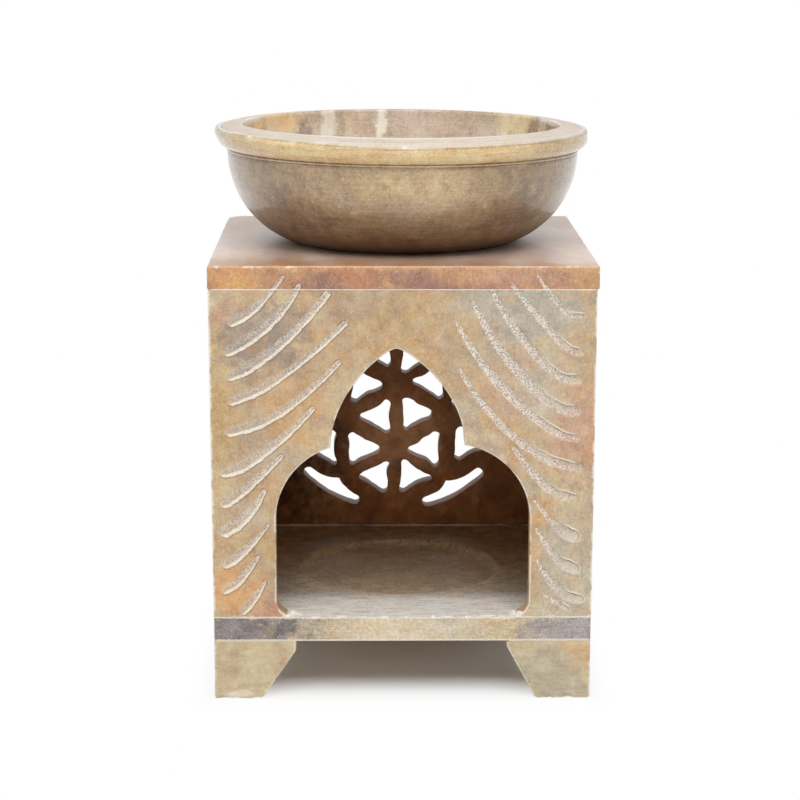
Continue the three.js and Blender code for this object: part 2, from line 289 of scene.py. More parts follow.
def weathered(points, low, high, chip, seed):
    """Points near an edge move inwards where the ragged noise runs high. The wear is nearness times noise."""
    centre = (low + high) / 2
    depth = np.clip((high - low) / 2 - np.abs(points - centre), 0, None)
    near = fade(np.sort(depth, axis=1)[:, 1], WEAR_REACH)
    lost = broken(points, CHIP_SIZE, seed, CHIP_LEVEL)
    inwards = -np.sign(points - centre) * fade(depth, WEAR_REACH)
    moved = points + chip * (near * lost)[:, None] * inwards
    return moved, near * broken(points, NICK_SIZE, seed + 7, 0.35, 1.3)


def weathered_above(points, low, high, chip, seed):
    """The same for a slab whose lower edge the glue has kept whole. Also returns the share of that wear: 0 at
    the lower edge and 1 above it."""
    moved, wear = weathered(points, low, high, chip, seed)
    upper = ramp(points[:, 2] - low[2], GLUED_LOW, GLUED_HIGH)
    return points + (moved - points) * upper[:, None], wear, upper


print("a chip starts where the noise passes", -CHIP_LEVEL)

# %% [markdown]
# ## Base slab
# The base is a sawn square of stone with a shallow dish turned into it, which keeps the tealight in the
# middle. A Boolean cut would leave long thin faces round the dish. Here the rings simply go on from the
# slab's edge across the top, and blend from square to round on the way to the rim of the dish.

# %% Base slab
SLAB_CORNER = 0.6
TIGHTEST_CORNER = 0.05
GLUED_EDGE = 0.12
WORN_EDGE = 0.35
SEAT_RIM = 21.5
SEAT_FLOOR = 18.8
SEAT_DEPTH = 1.5
SEAT_SLOPE = 0.9
SLAB_ROWS = 14
BASE_COLUMNS = 480


def slab_sides(half_x, half_y, low, high, corner, edges, rows, count):
    """Rings up the side of a slab: a quarter round below, the upright face, a quarter round above."""
    below, above = edges
    inset_below, rise = quarter(below)
    drop, inset_above = quarter(above)
    face = np.linspace(low + below, high - above, rows + 2)[1:-1]
    inset = np.concatenate([inset_below, np.zeros(rows), inset_above])
    level = np.concatenate([low + rise, face, high - drop])
    loops = [square_loop(half_x - i, half_y - i, max(corner - i, TIGHTEST_CORNER), count) for i in inset]
    return rings(loops, level)


def base_grid(low, high):
    """From the middle of the underside, round the edge, over the top and down into the dish."""
    half = (high - low) / 2
    edges = (GLUED_EDGE, GLUED_EDGE)
    sides = slab_sides(half[0], half[1], low[2], high[2], SLAB_CORNER, edges, SLAB_ROWS, BASE_COLUMNS)
    edge = sides[-1, :, :2]
    rim = circle_loop(SEAT_RIM, BASE_COLUMNS)
    under = spread(0 * edge, edge, np.linspace(0, 1, 6)[:-1], low[2])
    top = spread(edge, rim, np.linspace(0, 1, 26)[1:], high[2])
    slope = curve([(SEAT_RIM, 0), (SEAT_RIM - SEAT_SLOPE, -SEAT_DEPTH), (SEAT_FLOOR, -SEAT_DEPTH)], 10)[1:]
    floor = np.linspace(SEAT_FLOOR, 0, 14)[1:]
    radius = np.concatenate([slope[:, 0], floor])
    level = high[2] + np.concatenate([slope[:, 1], np.full(len(floor), -SEAT_DEPTH)])
    dish = rings([circle_loop(r, BASE_COLUMNS) for r in radius], level)
    return np.concatenate([under, sides, top, dish])


print("dish of", 2 * SEAT_RIM, "mm across and", SEAT_DEPTH, "mm deep")

# %% Wear and painted light on the base slab
BASE_CHIP = 0.6
LIT_STRIP_EDGE = -19.5
LIT_STRIP_FADE = 6.0
CORNER_LINE = 0.3
LOWER_LINE = 0.35
RIM_HIGHLIGHT = 0.4
STEP_HIGHLIGHT = 0.25
STEP_RADIUS = SEAT_FLOOR + 0.6
STEP_BELOW = 0.4
DISH_SHADE = 0.6
TOP_SKIN = 0.1


def base_dress(points):
    """Chipped upper edges, a bruised line along the lower ones that is partly a painted highlight, painted
    highlights round the dish's near rim and round its floor, and two shares for the finish: the pale strip
    inside the doorway, painted light where the front lamp reaches the floor, and the hollow of the dish."""
    x, y, z = points.T
    radius = np.hypot(x, y)
    moved, wear, upper = weathered_above(points, base_low, base_high, BASE_CHIP, 11)
    # Bruised stone along the lower edges, painted brighter than a downward-facing edge is lit: partly a
    # painted highlight.
    outer = fade(base_high[0] - np.maximum(np.abs(x), np.abs(y)), CORNER_LINE)
    under = outer * np.clip(1.5 * fade(z - base_low[2], LOWER_LINE), 0, 1)
    on_top = z > base_high[2] - TOP_SKIN
    # Painted light: the floor inside the doorway is paler where the front light reaches it.
    strip = on_top * ramp(y, LIT_STRIP_EDGE, LIT_STRIP_EDGE - LIT_STRIP_FADE)
    # Painted highlights round the near half of the dish's rim and round the edge of its floor, carried by the
    # wear mark.
    rim = on_top * fade(np.abs(radius - SEAT_RIM), RIM_HIGHLIGHT) * (y < 0)
    step = fade(np.abs(radius - STEP_RADIUS), STEP_HIGHLIGHT) * (z < base_high[2] - STEP_BELOW)
    lines = np.maximum(0.55 * rim, 0.45 * step) * (z > base_low[2] + GLUED_LOW)
    dish = ramp(base_high[2] - z, 0, DISH_SHADE) * (radius < SEAT_RIM)
    wear = np.max([wear * upper, 0.9 * under, lines], axis=0)
    return moved, {"wear": wear, "strip": strip, "dish": dish}


base_low, base_high = box_mm("base_slab")
base = skin("base_stone", [(base_grid(base_low, base_high), False, True)], base_dress)

# %% [markdown]
# ## Corner feet
# Each foot is a block with a short upright land under the slab, cut back on a slant to a narrow toe. The
# saw cuts differ from foot to foot, so the front two have their own sizes. A foot is a stack of squares
# whose reach from the outer corner grows with the height.

# %% Blocks of the feet
FOOT_LOOP = 120
FOOT_ROWS = 33
FOOT_EDGE = 0.4
FOOT_CORNER = 0.4
# Each foot: its reach under the slab, its reach at the toe, and the height of its upright land.
FOOT_CUTS = {
    "front_left": (16.5, 9.6, 1.8),
    "front_right": (17.0, 11.0, 0.9),
    "back_left": (16.8, 10.3, 1.6),
    "back_right": (16.8, 10.3, 1.6),
}


def foot_reach(level, height, head, toe, land):
    """How far a foot reaches from its outer corner at each level: a slant, then the upright land."""
    return toe + (head - toe) * np.clip(level / (height - land), 0, 1)


def foot_grid(height, cuts, corner, sign):
    """Square loops from the sole up, each as wide as the foot reaches at its level."""
    inset, rise = quarter(FOOT_EDGE)
    inset = np.concatenate([inset, np.zeros(FOOT_ROWS)])
    level = np.concatenate([rise, np.linspace(FOOT_EDGE, height, FOOT_ROWS + 1)[1:]])
    half = foot_reach(level, height, *cuts) / 2
    loops = [square_loop(h - i, h - i, FOOT_CORNER, FOOT_LOOP) - h for h, i in zip(half, inset)]
    sides = rings(loops, level)
    sole, crown = sides[0, :, :2], sides[-1, :, :2]
    middle = np.linspace(0, 1, 7)[:-1]
    under = spread(0 * sole + sole.mean(axis=0), sole, middle, 0)
    top = spread(0 * crown + crown.mean(axis=0), crown, middle[::-1], height)
    return np.concatenate([under, sides, top]) * (*sign, 1) + (*corner, 0)


print("a foot is stacked from", FOOT_ROWS, "squares")

# %% Feet
FOOT_CHIP = 1.5
FOOT_CHIP_LEVEL = 0.05
FOOT_WANDER = 0.08
FOOT_WANDER_SIZE = 6.0
FOOT_BRUISE = 0.55
FOOT_NICK_SIZE = 1.2
FOOT_SOLE = 1.0


def foot_dress(height, cuts, corner, sign, seed):
    """Returns the dressing of a foot: chips at its outer corner and sole, bruises on its slanting edges."""

    def dress(points):
        across = np.abs(points - (*corner, 0))
        near = fade(np.sort(across, axis=1)[:, 1], WEAR_REACH)
        lost = broken(points, CHIP_SIZE, seed, FOOT_CHIP_LEVEL) * (0.2 + 0.8 * (across[:, 2] < FOOT_SOLE))
        inwards = fade(across, WEAR_REACH) * (*-sign, 1)
        moved = points + FOOT_CHIP * (near * lost)[:, None] * inwards
        wander = ragged(points, FOOT_WANDER_SIZE, seed + 3)[:, None]
        moved[:, :2] += FOOT_WANDER * wander * (across[:, :2] > 1)
        slant = np.abs(foot_reach(points[:, 2], height, *cuts)[:, None] - across[:, :2])
        edge = fade((slant + across[:, 1::-1]).min(axis=1), FOOT_BRUISE)
        return moved, {"wear": np.maximum(near, edge) * broken(points, FOOT_NICK_SIZE, seed + 5, 0.95)}

    return dress


feet = {}
for number, (place, cuts) in enumerate(FOOT_CUTS.items()):
    foot_low, foot_high = box_mm(place + "_foot")
    sign = np.where(foot_high[:2] > 0, 1, -1)
    corner = np.where(sign > 0, foot_high[:2], foot_low[:2])
    grid = foot_grid(foot_high[2], cuts, corner, sign)
    dress = foot_dress(foot_high[2], cuts, corner, sign, 20 + 10 * number)
    feet[place] = skin(place + "_foot_stone", [(grid, False, True)], dress)

# %% [markdown]
# ## Side walls
# The side walls are plain sawn panels between the front and the back. They are the same stack of rings as
# a slab, only laid on its side: the ring's plan becomes depth and height, and its level becomes width.

# %% Side walls
SIDE_COLUMNS = 240
SIDE_ROWS = 6
SIDE_CORNER = 0.4
SIDE_CHIP = 0.35


def side_grid(low, high):
    """A slab whose thickness runs along X: local x, y, z become y, z, x."""
    half = (high - low) / 2
    edges = (WORN_EDGE, WORN_EDGE)
    sides = slab_sides(half[1], half[2], low[0], high[0], SIDE_CORNER, edges, SIDE_ROWS, SIDE_COLUMNS)
    edge = sides[0, :, :2]
    shares = np.linspace(0, 1, 20)[:-1]
    near_face = spread(0 * edge, edge, shares, low[0])
    far_face = spread(0 * edge, edge, shares[::-1], high[0])
    laid = np.concatenate([near_face, sides, far_face])[..., [2, 0, 1]]
    return laid + np.array([0, (low[1] + high[1]) / 2, (low[2] + high[2]) / 2])


def side_dress(low, high, seed):
    """Returns the dressing of a side wall: worn edges, like any sawn panel's."""

    def dress(points):
        moved, wear = weathered(points, low, high, SIDE_CHIP, seed)
        return moved, {"wear": wear}

    return dress


sides = {}
for name, seed in (("left_wall", 61), ("right_wall", 67)):
    low, high = box_mm(name)
    sides[name] = skin(name + "_stone", [(side_grid(low, high), False, True)], side_dress(low, high, seed))

# %% [markdown]
# ## Carved strokes
# Two fans of gouged strokes sweep down the front like the feathers of a wing. Each stroke starts in a
# point, swells, and ends round. A painted pattern would look flat when the light changes, so each stroke
# is a real hollow: a curve with a width, and a depth that falls off from the curve to its sides.

# %% The strokes
# Each stroke: point, middle, end and tip (x and height above the table), its width at each of them, and the
# share of white dust left in its end.
STROKES = [
    ((-23.5, 86.5), (-28.2, 81.2), (-32.2, 78.3), (-33.6, 77.6), (0.5, 1.3, 2.5, 2.1), 0.5),
    ((-20.5, 84.7), (-25.1, 78.3), (-32.2, 72.9), (-34.6, 71.6), (0.9, 1.9, 2.8, 2.2), 0.5),
    ((-15.0, 83.0), (-22.4, 74.7), (-31.0, 68.0), (-34.0, 66.7), (1.4, 1.8, 2.6, 2.2), 0.5),
    ((-11.6, 77.1), (-21.9, 68.2), (-30.5, 63.0), (-33.8, 61.7), (1.2, 1.5, 2.4, 2.0), 0.5),
    ((-12.7, 69.4), (-22.0, 61.0), (-30.1, 56.5), (-34.3, 55.5), (1.0, 1.7, 2.4, 2.1), 0.5),
    ((-18.0, 60.0), (-24.6, 53.6), (-32.0, 48.2), (-35.6, 47.2), (1.1, 1.7, 2.6, 2.1), 0.6),
    ((-24.2, 50.4), (-29.5, 45.4), (-34.3, 41.6), (-35.5, 41.0), (0.9, 1.6, 2.6, 2.3), 0.6),
    ((-27.6, 43.3), (-30.7, 38.8), (-34.4, 35.8), (-35.5, 35.2), (0.9, 2.0, 2.9, 2.8), 0.6),
    ((-26.9, 36.3), (-30.6, 32.2), (-34.2, 29.1), (-35.2, 28.5), (0.6, 1.5, 2.4, 2.2), 0.6),
    ((-29.0, 29.7), (-32.0, 25.8), (-34.7, 23.4), (-35.6, 22.9), (0.7, 1.6, 2.2, 2.0), 0.6),
    ((-27.6, 24.7), (-29.7, 21.4), (-31.6, 19.1), (-32.2, 18.5), (0.5, 1.7, 1.9, 1.7), 0.5),
    ((26.2, 86.6), (29.0, 82.7), (32.4, 78.7), (35.8, 78.7), (0.5, 1.1, 1.2, 1.0), 0.7),
    ((21.4, 84.6), (26.3, 78.7), (32.0, 72.1), (34.9, 71.3), (0.8, 1.5, 1.6, 1.6), 0.7),
    ((17.4, 83.4), (23.7, 73.6), (30.8, 66.3), (34.3, 65.7), (0.9, 1.6, 1.8, 2.2), 0.75),
    ((13.7, 81.2), (20.8, 69.7), (30.3, 60.1), (34.3, 59.5), (0.9, 1.9, 2.0, 2.2), 0.75),
    ((10.6, 77.2), (18.6, 65.4), (30.7, 54.7), (34.4, 54.0), (0.8, 2.0, 1.7, 1.5), 0.8),
    ((11.2, 67.8), (19.5, 56.7), (30.0, 49.0), (34.8, 48.1), (0.8, 1.6, 2.0, 1.9), 0.7),
    ((22.0, 52.1), (27.1, 45.6), (31.4, 42.4), (34.9, 42.1), (0.8, 1.7, 2.0, 0.6), 0.5),
    ((26.2, 41.4), (29.6, 37.3), (33.2, 34.3), (34.1, 33.9), (0.5, 1.1, 2.7, 2.8), 0.3),
    ((26.7, 35.5), (30.0, 30.4), (33.4, 27.5), (34.2, 27.2), (0.6, 1.2, 2.4, 2.5), 0.3),
    ((27.0, 29.0), (30.1, 24.2), (34.2, 20.9), (35.4, 20.8), (0.6, 1.5, 2.2, 2.0), 0.3),
    ((28.4, 21.7), (30.9, 20.2), (32.8, 19.0), (33.2, 18.8), (0.4, 1.2, 1.2, 1.0), 0.4),
]
STROKE_STEPS = 32


def stroke_curve(point, middle, end, tip):
    """A quadratic curve through its middle that bends on into a straight run-out to its tip. The handle is
    twice the middle less the mean of the two ends."""
    handle = 2 * np.array(middle) - (np.array(point) + np.array(end)) / 2
    sweep = curve([point, handle, end], STROKE_STEPS)
    bend = curve([sweep[-6], end, (np.array(end) + np.array(tip)) / 2], 7)
    return evenly(np.vstack([sweep[:-6], bend, [tip]]), STROKE_STEPS)


print("strokes", len(STROKES), "each walked in", STROKE_STEPS, "points")

# %% Depth of the strokes
WIDTH_STOPS = (0, 0.43, 0.86, 1)
DUST_STOPS = (0.35, 0.86)
LEFT_DUST = 0.75
RIGHT_DUST = 0.95
STROKE_DEPTH = 0.16
STROKE_TILT = 0.35
STROKE_MARGIN = 3.0


def distance_to(line, spots):
    """Nearest distance from each spot to a polyline, how many of its pieces lie before that place, and the
    distance again across the nearest piece, counted upwards."""
    start, run = line[:-1], np.diff(line, axis=0)
    offset = spots[:, None] - start[None]
    share = np.clip((offset * run).sum(axis=2) / (run * run).sum(axis=1), 0, 1)
    apart = offset - share[..., None] * run
    gap = np.linalg.norm(apart, axis=2)
    best = gap.argmin(axis=1)
    rows = np.arange(len(spots))
    heading = run[best] / np.linalg.norm(run[best], axis=1)[:, None]
    apart = apart[rows, best]
    above = (heading[:, 0] * apart[:, 1] - heading[:, 1] * apart[:, 0]) * np.sign(heading[:, 0])
    return gap[rows, best], best + share[rows, best], above


def gouged(spots, line, widths, end_dust):
    """One stroke at spots close by: its depth, then how far inside its outline each spot lies, on which side
    of its middle, how dusty, and how far along. The gouge was tilted: a stroke of the left fan is steep below
    and a stroke of the right fan steep above, and the left ones fade out on their upper side."""
    on_left = line[0, 0] < 0
    gap, along, above = distance_to(line, spots)
    share = along / (STROKE_STEPS - 1)
    flat = as_points(spots)
    width = np.interp(share, WIDTH_STOPS, widths) * (1 + 0.2 * ragged(flat, 1.4, 41))
    half = width / 2
    side = np.clip(above / half, -1, 1)
    beyond = np.clip(gap**2 - above**2, 0, None) / half**2
    deepest = -STROKE_TILT if on_left else STROKE_TILT
    slope = np.where(side < deepest, (1 + side) / (1 + deepest), (1 - side) / (1 - deepest))
    fading = 1 - 0.75 * ramp(share, 0.55, 0.82) * np.clip(side + 0.4, 0, 1) * on_left
    hollow = np.sin(np.pi / 2 * slope) * np.clip(1 - beyond, 0, 1) * fading
    chatter = 1 + 0.5 * ragged(flat, 0.9, 43)
    early = ramp(share, 0.2, 0) * on_left
    lean = side * (1 - early) - np.abs(side) * early
    dust = np.interp(share, DUST_STOPS, (LEFT_DUST if on_left else RIGHT_DUST, end_dust))
    return STROKE_DEPTH * width * hollow * chatter, half - gap, lean, dust, share


def carved(spots):
    """Depth of the strokes at spots of the front, and the marks of the stroke each spot is deepest in."""
    depth, lean, dust, run = np.zeros((4, len(spots)))
    marks = {"inside": np.full(len(spots), -1.0), "lean": lean, "dust": dust, "run": run}
    for point, middle, end, tip, widths, end_dust in STROKES:
        line = stroke_curve(point, middle, end, tip)
        low, high = line.min(axis=0) - STROKE_MARGIN, line.max(axis=0) + STROKE_MARGIN
        close = np.flatnonzero(((spots > low) & (spots < high)).all(axis=1))
        if len(close) == 0:
            continue
        hollow, *found = gouged(spots[close], line, widths, end_dust)
        depth[close] = np.maximum(depth[close], hollow)
        deeper = found[0] > marks["inside"][close]
        for key, values in zip(marks, found):
            marks[key][close[deeper]] = values[deeper]
    marks["inside"] = np.clip(marks["inside"], -1, 1)
    return depth, marks


widest_stroke = max(max(widths) for *_, widths, _ in STROKES)
print("the deepest stroke goes in by", round(STROKE_DEPTH * widest_stroke, 2), "mm")

# %% [markdown]
# ## Roof slab
# The roof is another sawn square, a little wider than the walls, with a round hole that lets the heat
# through. The tips of the upper strokes run on across its front edge, so the slab was glued on before the
# carving was done, and the same depth function cuts both stones.

# %% Roof slab
HEAT_HOLE = 14.0
ROOF_FLUSH = 0.4
KNOCKED_CORNER = 5.0
ROOF_CHIP = 0.9
ROOF_FRONT = 0.8
ROOF_HIGHLIGHT_REACH = 0.4
ROOF_TOP_SKIN = 0.3
WORN_FROM = 16
WORN_FADE = 8
LEAST_WORN = 0.25
BOWL_SHADOW_MIDDLE = -34.0
BOWL_SHADOW_REACH = (24.0, 9.0)
ROOF_COLUMNS = 960


def roof_grid(low, high):
    """A closed band of rings: out along the underside, up the edge, in over the top, down the heat hole."""
    half = (high - low) / 2
    edges = (GLUED_EDGE, WORN_EDGE)
    sides = slab_sides(half[0], half[1], low[2], high[2], SLAB_CORNER, edges, SLAB_ROWS, ROOF_COLUMNS)
    edge = sides[-1, :, :2]
    hole = circle_loop(HEAT_HOLE, ROOF_COLUMNS)
    under = spread(hole, edge, np.linspace(0, 1, 8)[:-1], low[2])
    top = spread(edge, hole, np.linspace(0, 1, 22)[1:], high[2])
    bore = rings([hole, hole], np.linspace(high[2], low[2], 4)[1:-1])
    return np.concatenate([under, sides, top, bore])


def roof_dress(points):
    """Chipped edges, one corner rounded off, and the stroke tips cut into the front edge. The finish gets a
    painted highlight along the upper front arris and a painted shadow on the top in front of the bowl."""
    x, y, z = points.T
    moved, wear, upper = weathered_above(points, roof_low, roof_high, ROOF_CHIP, 31)
    depth, marks = carved(points[:, [0, 2]])
    front = ramp(y, roof_low[1] + ROOF_FRONT, roof_low[1])
    moved[:, 1] += (depth + ROOF_FLUSH) * front
    offset = moved[:, :2] - (roof_low[0] + KNOCKED_CORNER, roof_high[1] - KNOCKED_CORNER)
    reach = np.linalg.norm(offset, axis=1)
    knocked = (offset[:, 0] < 0) & (offset[:, 1] > 0) & (reach > KNOCKED_CORNER)
    moved[knocked, :2] += (offset * (KNOCKED_CORNER / np.maximum(reach, 1) - 1)[:, None])[knocked]
    ends = np.clip((np.abs(x) - WORN_FROM) / WORN_FADE, LEAST_WORN, 1)
    # Painted highlight along the upper front arris, where the rounded edge catches the light.
    arris = fade(y - roof_low[1] + roof_high[2] - z, ROOF_HIGHLIGHT_REACH)
    # Painted shadow: the top in front of the bowl is left browner, as in the bowl's shade.
    bare = bell(x, BOWL_SHADOW_REACH[0]) * bell(y - BOWL_SHADOW_MIDDLE, BOWL_SHADOW_REACH[1]) * (z > roof_high[2] - ROOF_TOP_SKIN)
    marks["inside"] = np.where(front > 0, marks["inside"], -1)
    wear = np.clip(1.5 * wear, 0, 1) * ends * upper
    return moved, {"wear": wear, "arris": arris, "bare": bare, **marks}


roof_low, roof_high = box_mm("roof_slab")
roof = skin("roof_stone", [(roof_grid(roof_low, roof_high), True, True)], roof_dress)

# %% [markdown]
# ## Front wall
# The front is one panel with a trefoil doorway sawn out of its lower edge: a toe, a jamb, a round
# shoulder, and a crown that rises to a point a little left of the middle. Cutting the hole from a finely
# divided plane would leave a jagged edge. Instead the panel is stretched between two lines, the doorway
# and the outside, so its columns meet both edges cleanly and the strokes get an even grid.

# %% Doorway
DOOR_HALF_WIDTH = 25.4
DOOR_TOE = 3.2
TOE_BLUNT = 70
SHOULDER = 15.6
SHOULDER_SPRING = 19.9
CROWN_HALF_WIDTH = 13.3
CROWN_SHIFT = -1.1
CROWN_APEX = (-1.4, 54.8)
CROWN_RISE = 11.2
CROWN_BLUNT = 2.0


def half_door(side):
    """Half of the doorway from its foot to the apex; side is -1 for left and 1 for right."""
    centre = side * (DOOR_HALF_WIDTH - SHOULDER)
    crown = CROWN_SHIFT + side * CROWN_HALF_WIDTH
    cusp_turn = np.degrees(np.arccos(side * (crown - centre) / SHOULDER))
    cusp = SHOULDER_SPRING + SHOULDER * np.sin(np.radians(cusp_turn))
    toe = arc((DOOR_HALF_WIDTH - DOOR_TOE, DOOR_TOE), DOOR_TOE, -TOE_BLUNT, 0)
    foot = [(toe[0, 0], 0)]
    shoulder = arc((DOOR_HALF_WIDTH - SHOULDER, SHOULDER_SPRING), SHOULDER, 0, cusp_turn, 40)
    blunt = (CROWN_APEX[0] + side * CROWN_BLUNT, CROWN_APEX[1])
    rise = curve([(crown, cusp), (crown, cusp + CROWN_RISE), blunt, CROWN_APEX])
    return np.vstack([np.vstack([foot, toe, shoulder]) * (side, 1), rise])


print("doorway", 2 * DOOR_HALF_WIDTH, "mm wide and", CROWN_APEX[1], "mm high")

# %% Grid of the front wall
FRONT_COLUMNS = 640
FRONT_ROWS = 112
ARRIS = 0.3
OUTER_ARRIS = 0.12


def panel_section(rows, depth):
    """One trip round the panel's section as three arrays: a fixed offset from the doorway, a share of the way
    to the outside, and a depth. It goes up the front, over the outer edge, back, and out at the reveal."""
    run, rise = quarter(1, 5)
    across = np.linspace(0, 1, rows)
    back = np.linspace(1, 0, 9)[1:-1]
    edge = np.linspace(OUTER_ARRIS, depth - OUTER_ARRIS, 5)[1:-1]
    reveal = np.linspace(depth - ARRIS, ARRIS, 5)[1:-1]
    still = 0 * rise
    offset = [ARRIS * rise[:-1], ARRIS - (ARRIS + OUTER_ARRIS) * across, -OUTER_ARRIS * run[1:], 0 * edge]
    offset += [-OUTER_ARRIS * rise, ARRIS - (ARRIS + OUTER_ARRIS) * back, ARRIS * rise[::-1], 0 * reveal]
    share = [still[:-1], across, still[1:] + 1, 0 * edge + 1, still + 1, back, still, 0 * reveal]
    level = [ARRIS * run[:-1], 0 * across, OUTER_ARRIS * rise[1:], edge, depth - OUTER_ARRIS * run]
    level += [0 * back + depth, depth - ARRIS * run[::-1], reveal]
    return [np.concatenate(part) for part in (offset, share, level)]


def front_grid(low, high):
    """Each column runs from a point of the doorway to the matching point of the outside."""
    door = evenly(np.vstack([half_door(-1), half_door(1)[::-1]]), FRONT_COLUMNS)
    height = high[2] - low[2]
    corners = np.array([(low[0], 0), (low[0], height), (high[0], height), (high[0], 0)])
    outside = evenly(corners, FRONT_COLUMNS)
    offset, share, level = panel_section(FRONT_ROWS, high[1] - low[1])
    reach = offset + share * np.linalg.norm(outside - door, axis=1)[:, None]
    plan = door[:, None] + towards(door, outside)[:, None] * reach[..., None]
    depth = np.broadcast_to(low[1] + level, reach.shape)
    return np.stack([plan[..., 0], depth, plan[..., 1] + low[2]], axis=2), door


print("front wall of", FRONT_COLUMNS, "columns with", FRONT_ROWS, "rows on its face")

# %% Front wall
FRONT_CHIP = 0.15
FRONT_LEAN = 0.3
LEANING = (-36, -38)
FACE_SKIN = 0.5
REVEAL_SKIN = 1.2
SHELTERED_TOP = 2
DOOR_BRUISE = 0.28
DOOR_CHIP = 0.3
EDGE_BRUISE = 0.5
DOOR_STEPS = 160


def front_dress(points):
    """Strokes on the face, nicks along the outer edges, and a bruised arris round the doorway. The left edge
    leans out a little towards the top."""
    x, y, z = points.T
    moved, wear = weathered(points, front_low, front_high, FRONT_CHIP, 51)
    depth, marks = carved(points[:, [0, 2]])
    face = ramp(y, front_low[1] + FACE_SKIN, front_low[1])
    moved[:, 1] += face * depth
    gap, _, _ = distance_to(evenly(door + (0, front_low[2]), DOOR_STEPS), points[:, [0, 2]])
    arris = np.clip(1.5 * fade(gap, DOOR_BRUISE), 0, 1) * (y < front_low[1] + REVEAL_SKIN)
    moved[:, 1] += DOOR_CHIP * arris * broken(points, 2.2, 55, 0)
    moved[:, 0] -= FRONT_LEAN * ramp(z, front_low[2], front_high[2]) * ramp(x, *LEANING)
    strip = fade(front_high[0] - np.abs(x), EDGE_BRUISE) * (y < front_low[1] + FACE_SKIN)
    nicked = np.maximum(arris, strip) * broken(points, 1.8, 57, 0.95)
    marks["inside"] = np.where(face > 0, marks["inside"], -1)
    return moved, {"wear": np.maximum(wear * (z < front_high[2] - SHELTERED_TOP), nicked), **marks}


front_low, front_high = box_mm("front_wall")
front_points, door = front_grid(front_low, front_high)
front = skin("front_wall_stone", [(front_points, False, True)], front_dress)

# %% [markdown]
# ## Pierced back wall
# The back carries a round medallion: a net of three-way struts, with a drawn-in triangle pierced between
# every three knots and a crescent outside each of its six sides. Piercing it with thirty Boolean cuts is
# slow and leaves ragged faces. The net is regular, so each hole gets its own cell of the net instead, a
# strip that runs from the cell's edge to the hole, through the stone, and back. Cells share their edges.

# %% Piercings
NET_PITCH = 13.6
NET_RINGS = 2
PIERCING_REACH = 3.55
PIERCING_CORNER = 0.92
PIERCING_WAIST = 11
EDGE_STEPS = 18


def polar(radius, angle):
    """A point by its radius and its angle in degrees."""
    return radius * np.array([np.cos(np.radians(angle)), np.sin(np.radians(angle))])


def piercing_side(heading):
    """One third of a piercing, from the middle of one round corner, along a drawn-in side, to the next."""
    lean = np.radians(PIERCING_WAIST)
    half_turn = 60 + PIERCING_WAIST
    beyond = heading + 120
    run = PIERCING_REACH * np.sin(np.radians(60)) - PIERCING_CORNER * np.sin(lean)
    waist = PIERCING_REACH / 2 + PIERCING_CORNER * np.cos(lean) - run * np.tan(lean)
    first = arc(polar(PIERCING_REACH, heading), PIERCING_CORNER, heading, heading + half_turn, 12)
    last = arc(polar(PIERCING_REACH, beyond), PIERCING_CORNER, beyond - half_turn, beyond, 12)
    side = curve([first[-1], polar(waist, heading + 60), last[0]], 16)
    return np.vstack([first[:-1], side, last[1:]])


def net_cell(middle, heading):
    """A triangle of the net and the hole in it, as two loops with the same number of points."""
    hole, edge = [], []
    for corner in range(3):
        turned = heading + 120 * corner
        hole.append(evenly(piercing_side(turned), EDGE_STEPS + 1)[:-1])
        knots = np.array([polar(NET_PITCH / np.sqrt(3), turned + step) for step in (0, 120)])
        edge.append(evenly(knots, EDGE_STEPS + 1)[:-1])
    return middle + np.vstack(hole), middle + np.vstack(edge)


print("a piercing is walked in", 3 * EDGE_STEPS, "steps")

# %% Crescents
CRESCENT_RADIUS = 28.9
CRESCENT_POINT = 24.7
CRESCENT_SPREAD = 14.1
CRESCENT_TIP = 1.2
CRESCENT_BULGE = 26.6
CRESCENT_BULGE_SPREAD = 5
# How far a filed crescent is turned from its place, and how much longer each half is, both in degrees.
CRESCENT_STRAYS = {4: (-1.3, -1.3), 5: (1.0, 0)}
MEDALLION_RIM = 30.8
ARC_STEPS = 40
TIP_STEPS = 7


def crescent_cell(heading, turned, longer):
    """The field outside one side of the net: a crescent with blunt tips, each held to an end of the field."""
    half_spread = CRESCENT_SPREAD + longer
    turns = (heading + turned - half_spread, heading + turned + half_spread)
    tips = [polar(CRESCENT_RADIUS - CRESCENT_TIP, turn) for turn in turns]
    ways = zip(tips, turns, (-180, 180))
    blunt = [arc(tip, CRESCENT_TIP, turn, turn + way, TIP_STEPS + 2) for tip, turn, way in ways]
    point = polar(CRESCENT_POINT, heading)
    bulge = [polar(CRESCENT_BULGE, heading + way * CRESCENT_BULGE_SPREAD) for way in (-1, 1)]
    outer = arc((0, 0), CRESCENT_RADIUS, *turns, ARC_STEPS)
    to_point = curve([blunt[1][-1], bulge[1], point], 20)
    from_point = curve([point, bulge[0], blunt[0][-1]], 20)
    inner = evenly(np.vstack([to_point, from_point[1:]]), 2 * EDGE_STEPS + 1)
    rim = arc((0, 0), MEDALLION_RIM, heading - 30, heading + 30, ARC_STEPS)
    knots = [polar(NET_RINGS * NET_PITCH, heading + way * 30) for way in (-1, 1)]
    ends = [evenly(np.array([rim[k], knots[k]]), TIP_STEPS + 2)[1:-1] for k in (0, -1)]
    side = evenly(np.array(knots[::-1]), 2 * EDGE_STEPS + 1)
    hole = np.vstack([outer, blunt[1][1:-1], inner, blunt[0][-2:0:-1]])
    return hole, np.vstack([rim, ends[1], side, ends[0][::-1]])


print("medallion of", 2 * MEDALLION_RIM, "mm across")

# %% Cells through the stone
MEDALLION_HEIGHT = 32.0
MEDALLION_SHIFT = -0.7
MEDALLION_LEAN = -1.2
PIERCED_ARRIS = 0.35


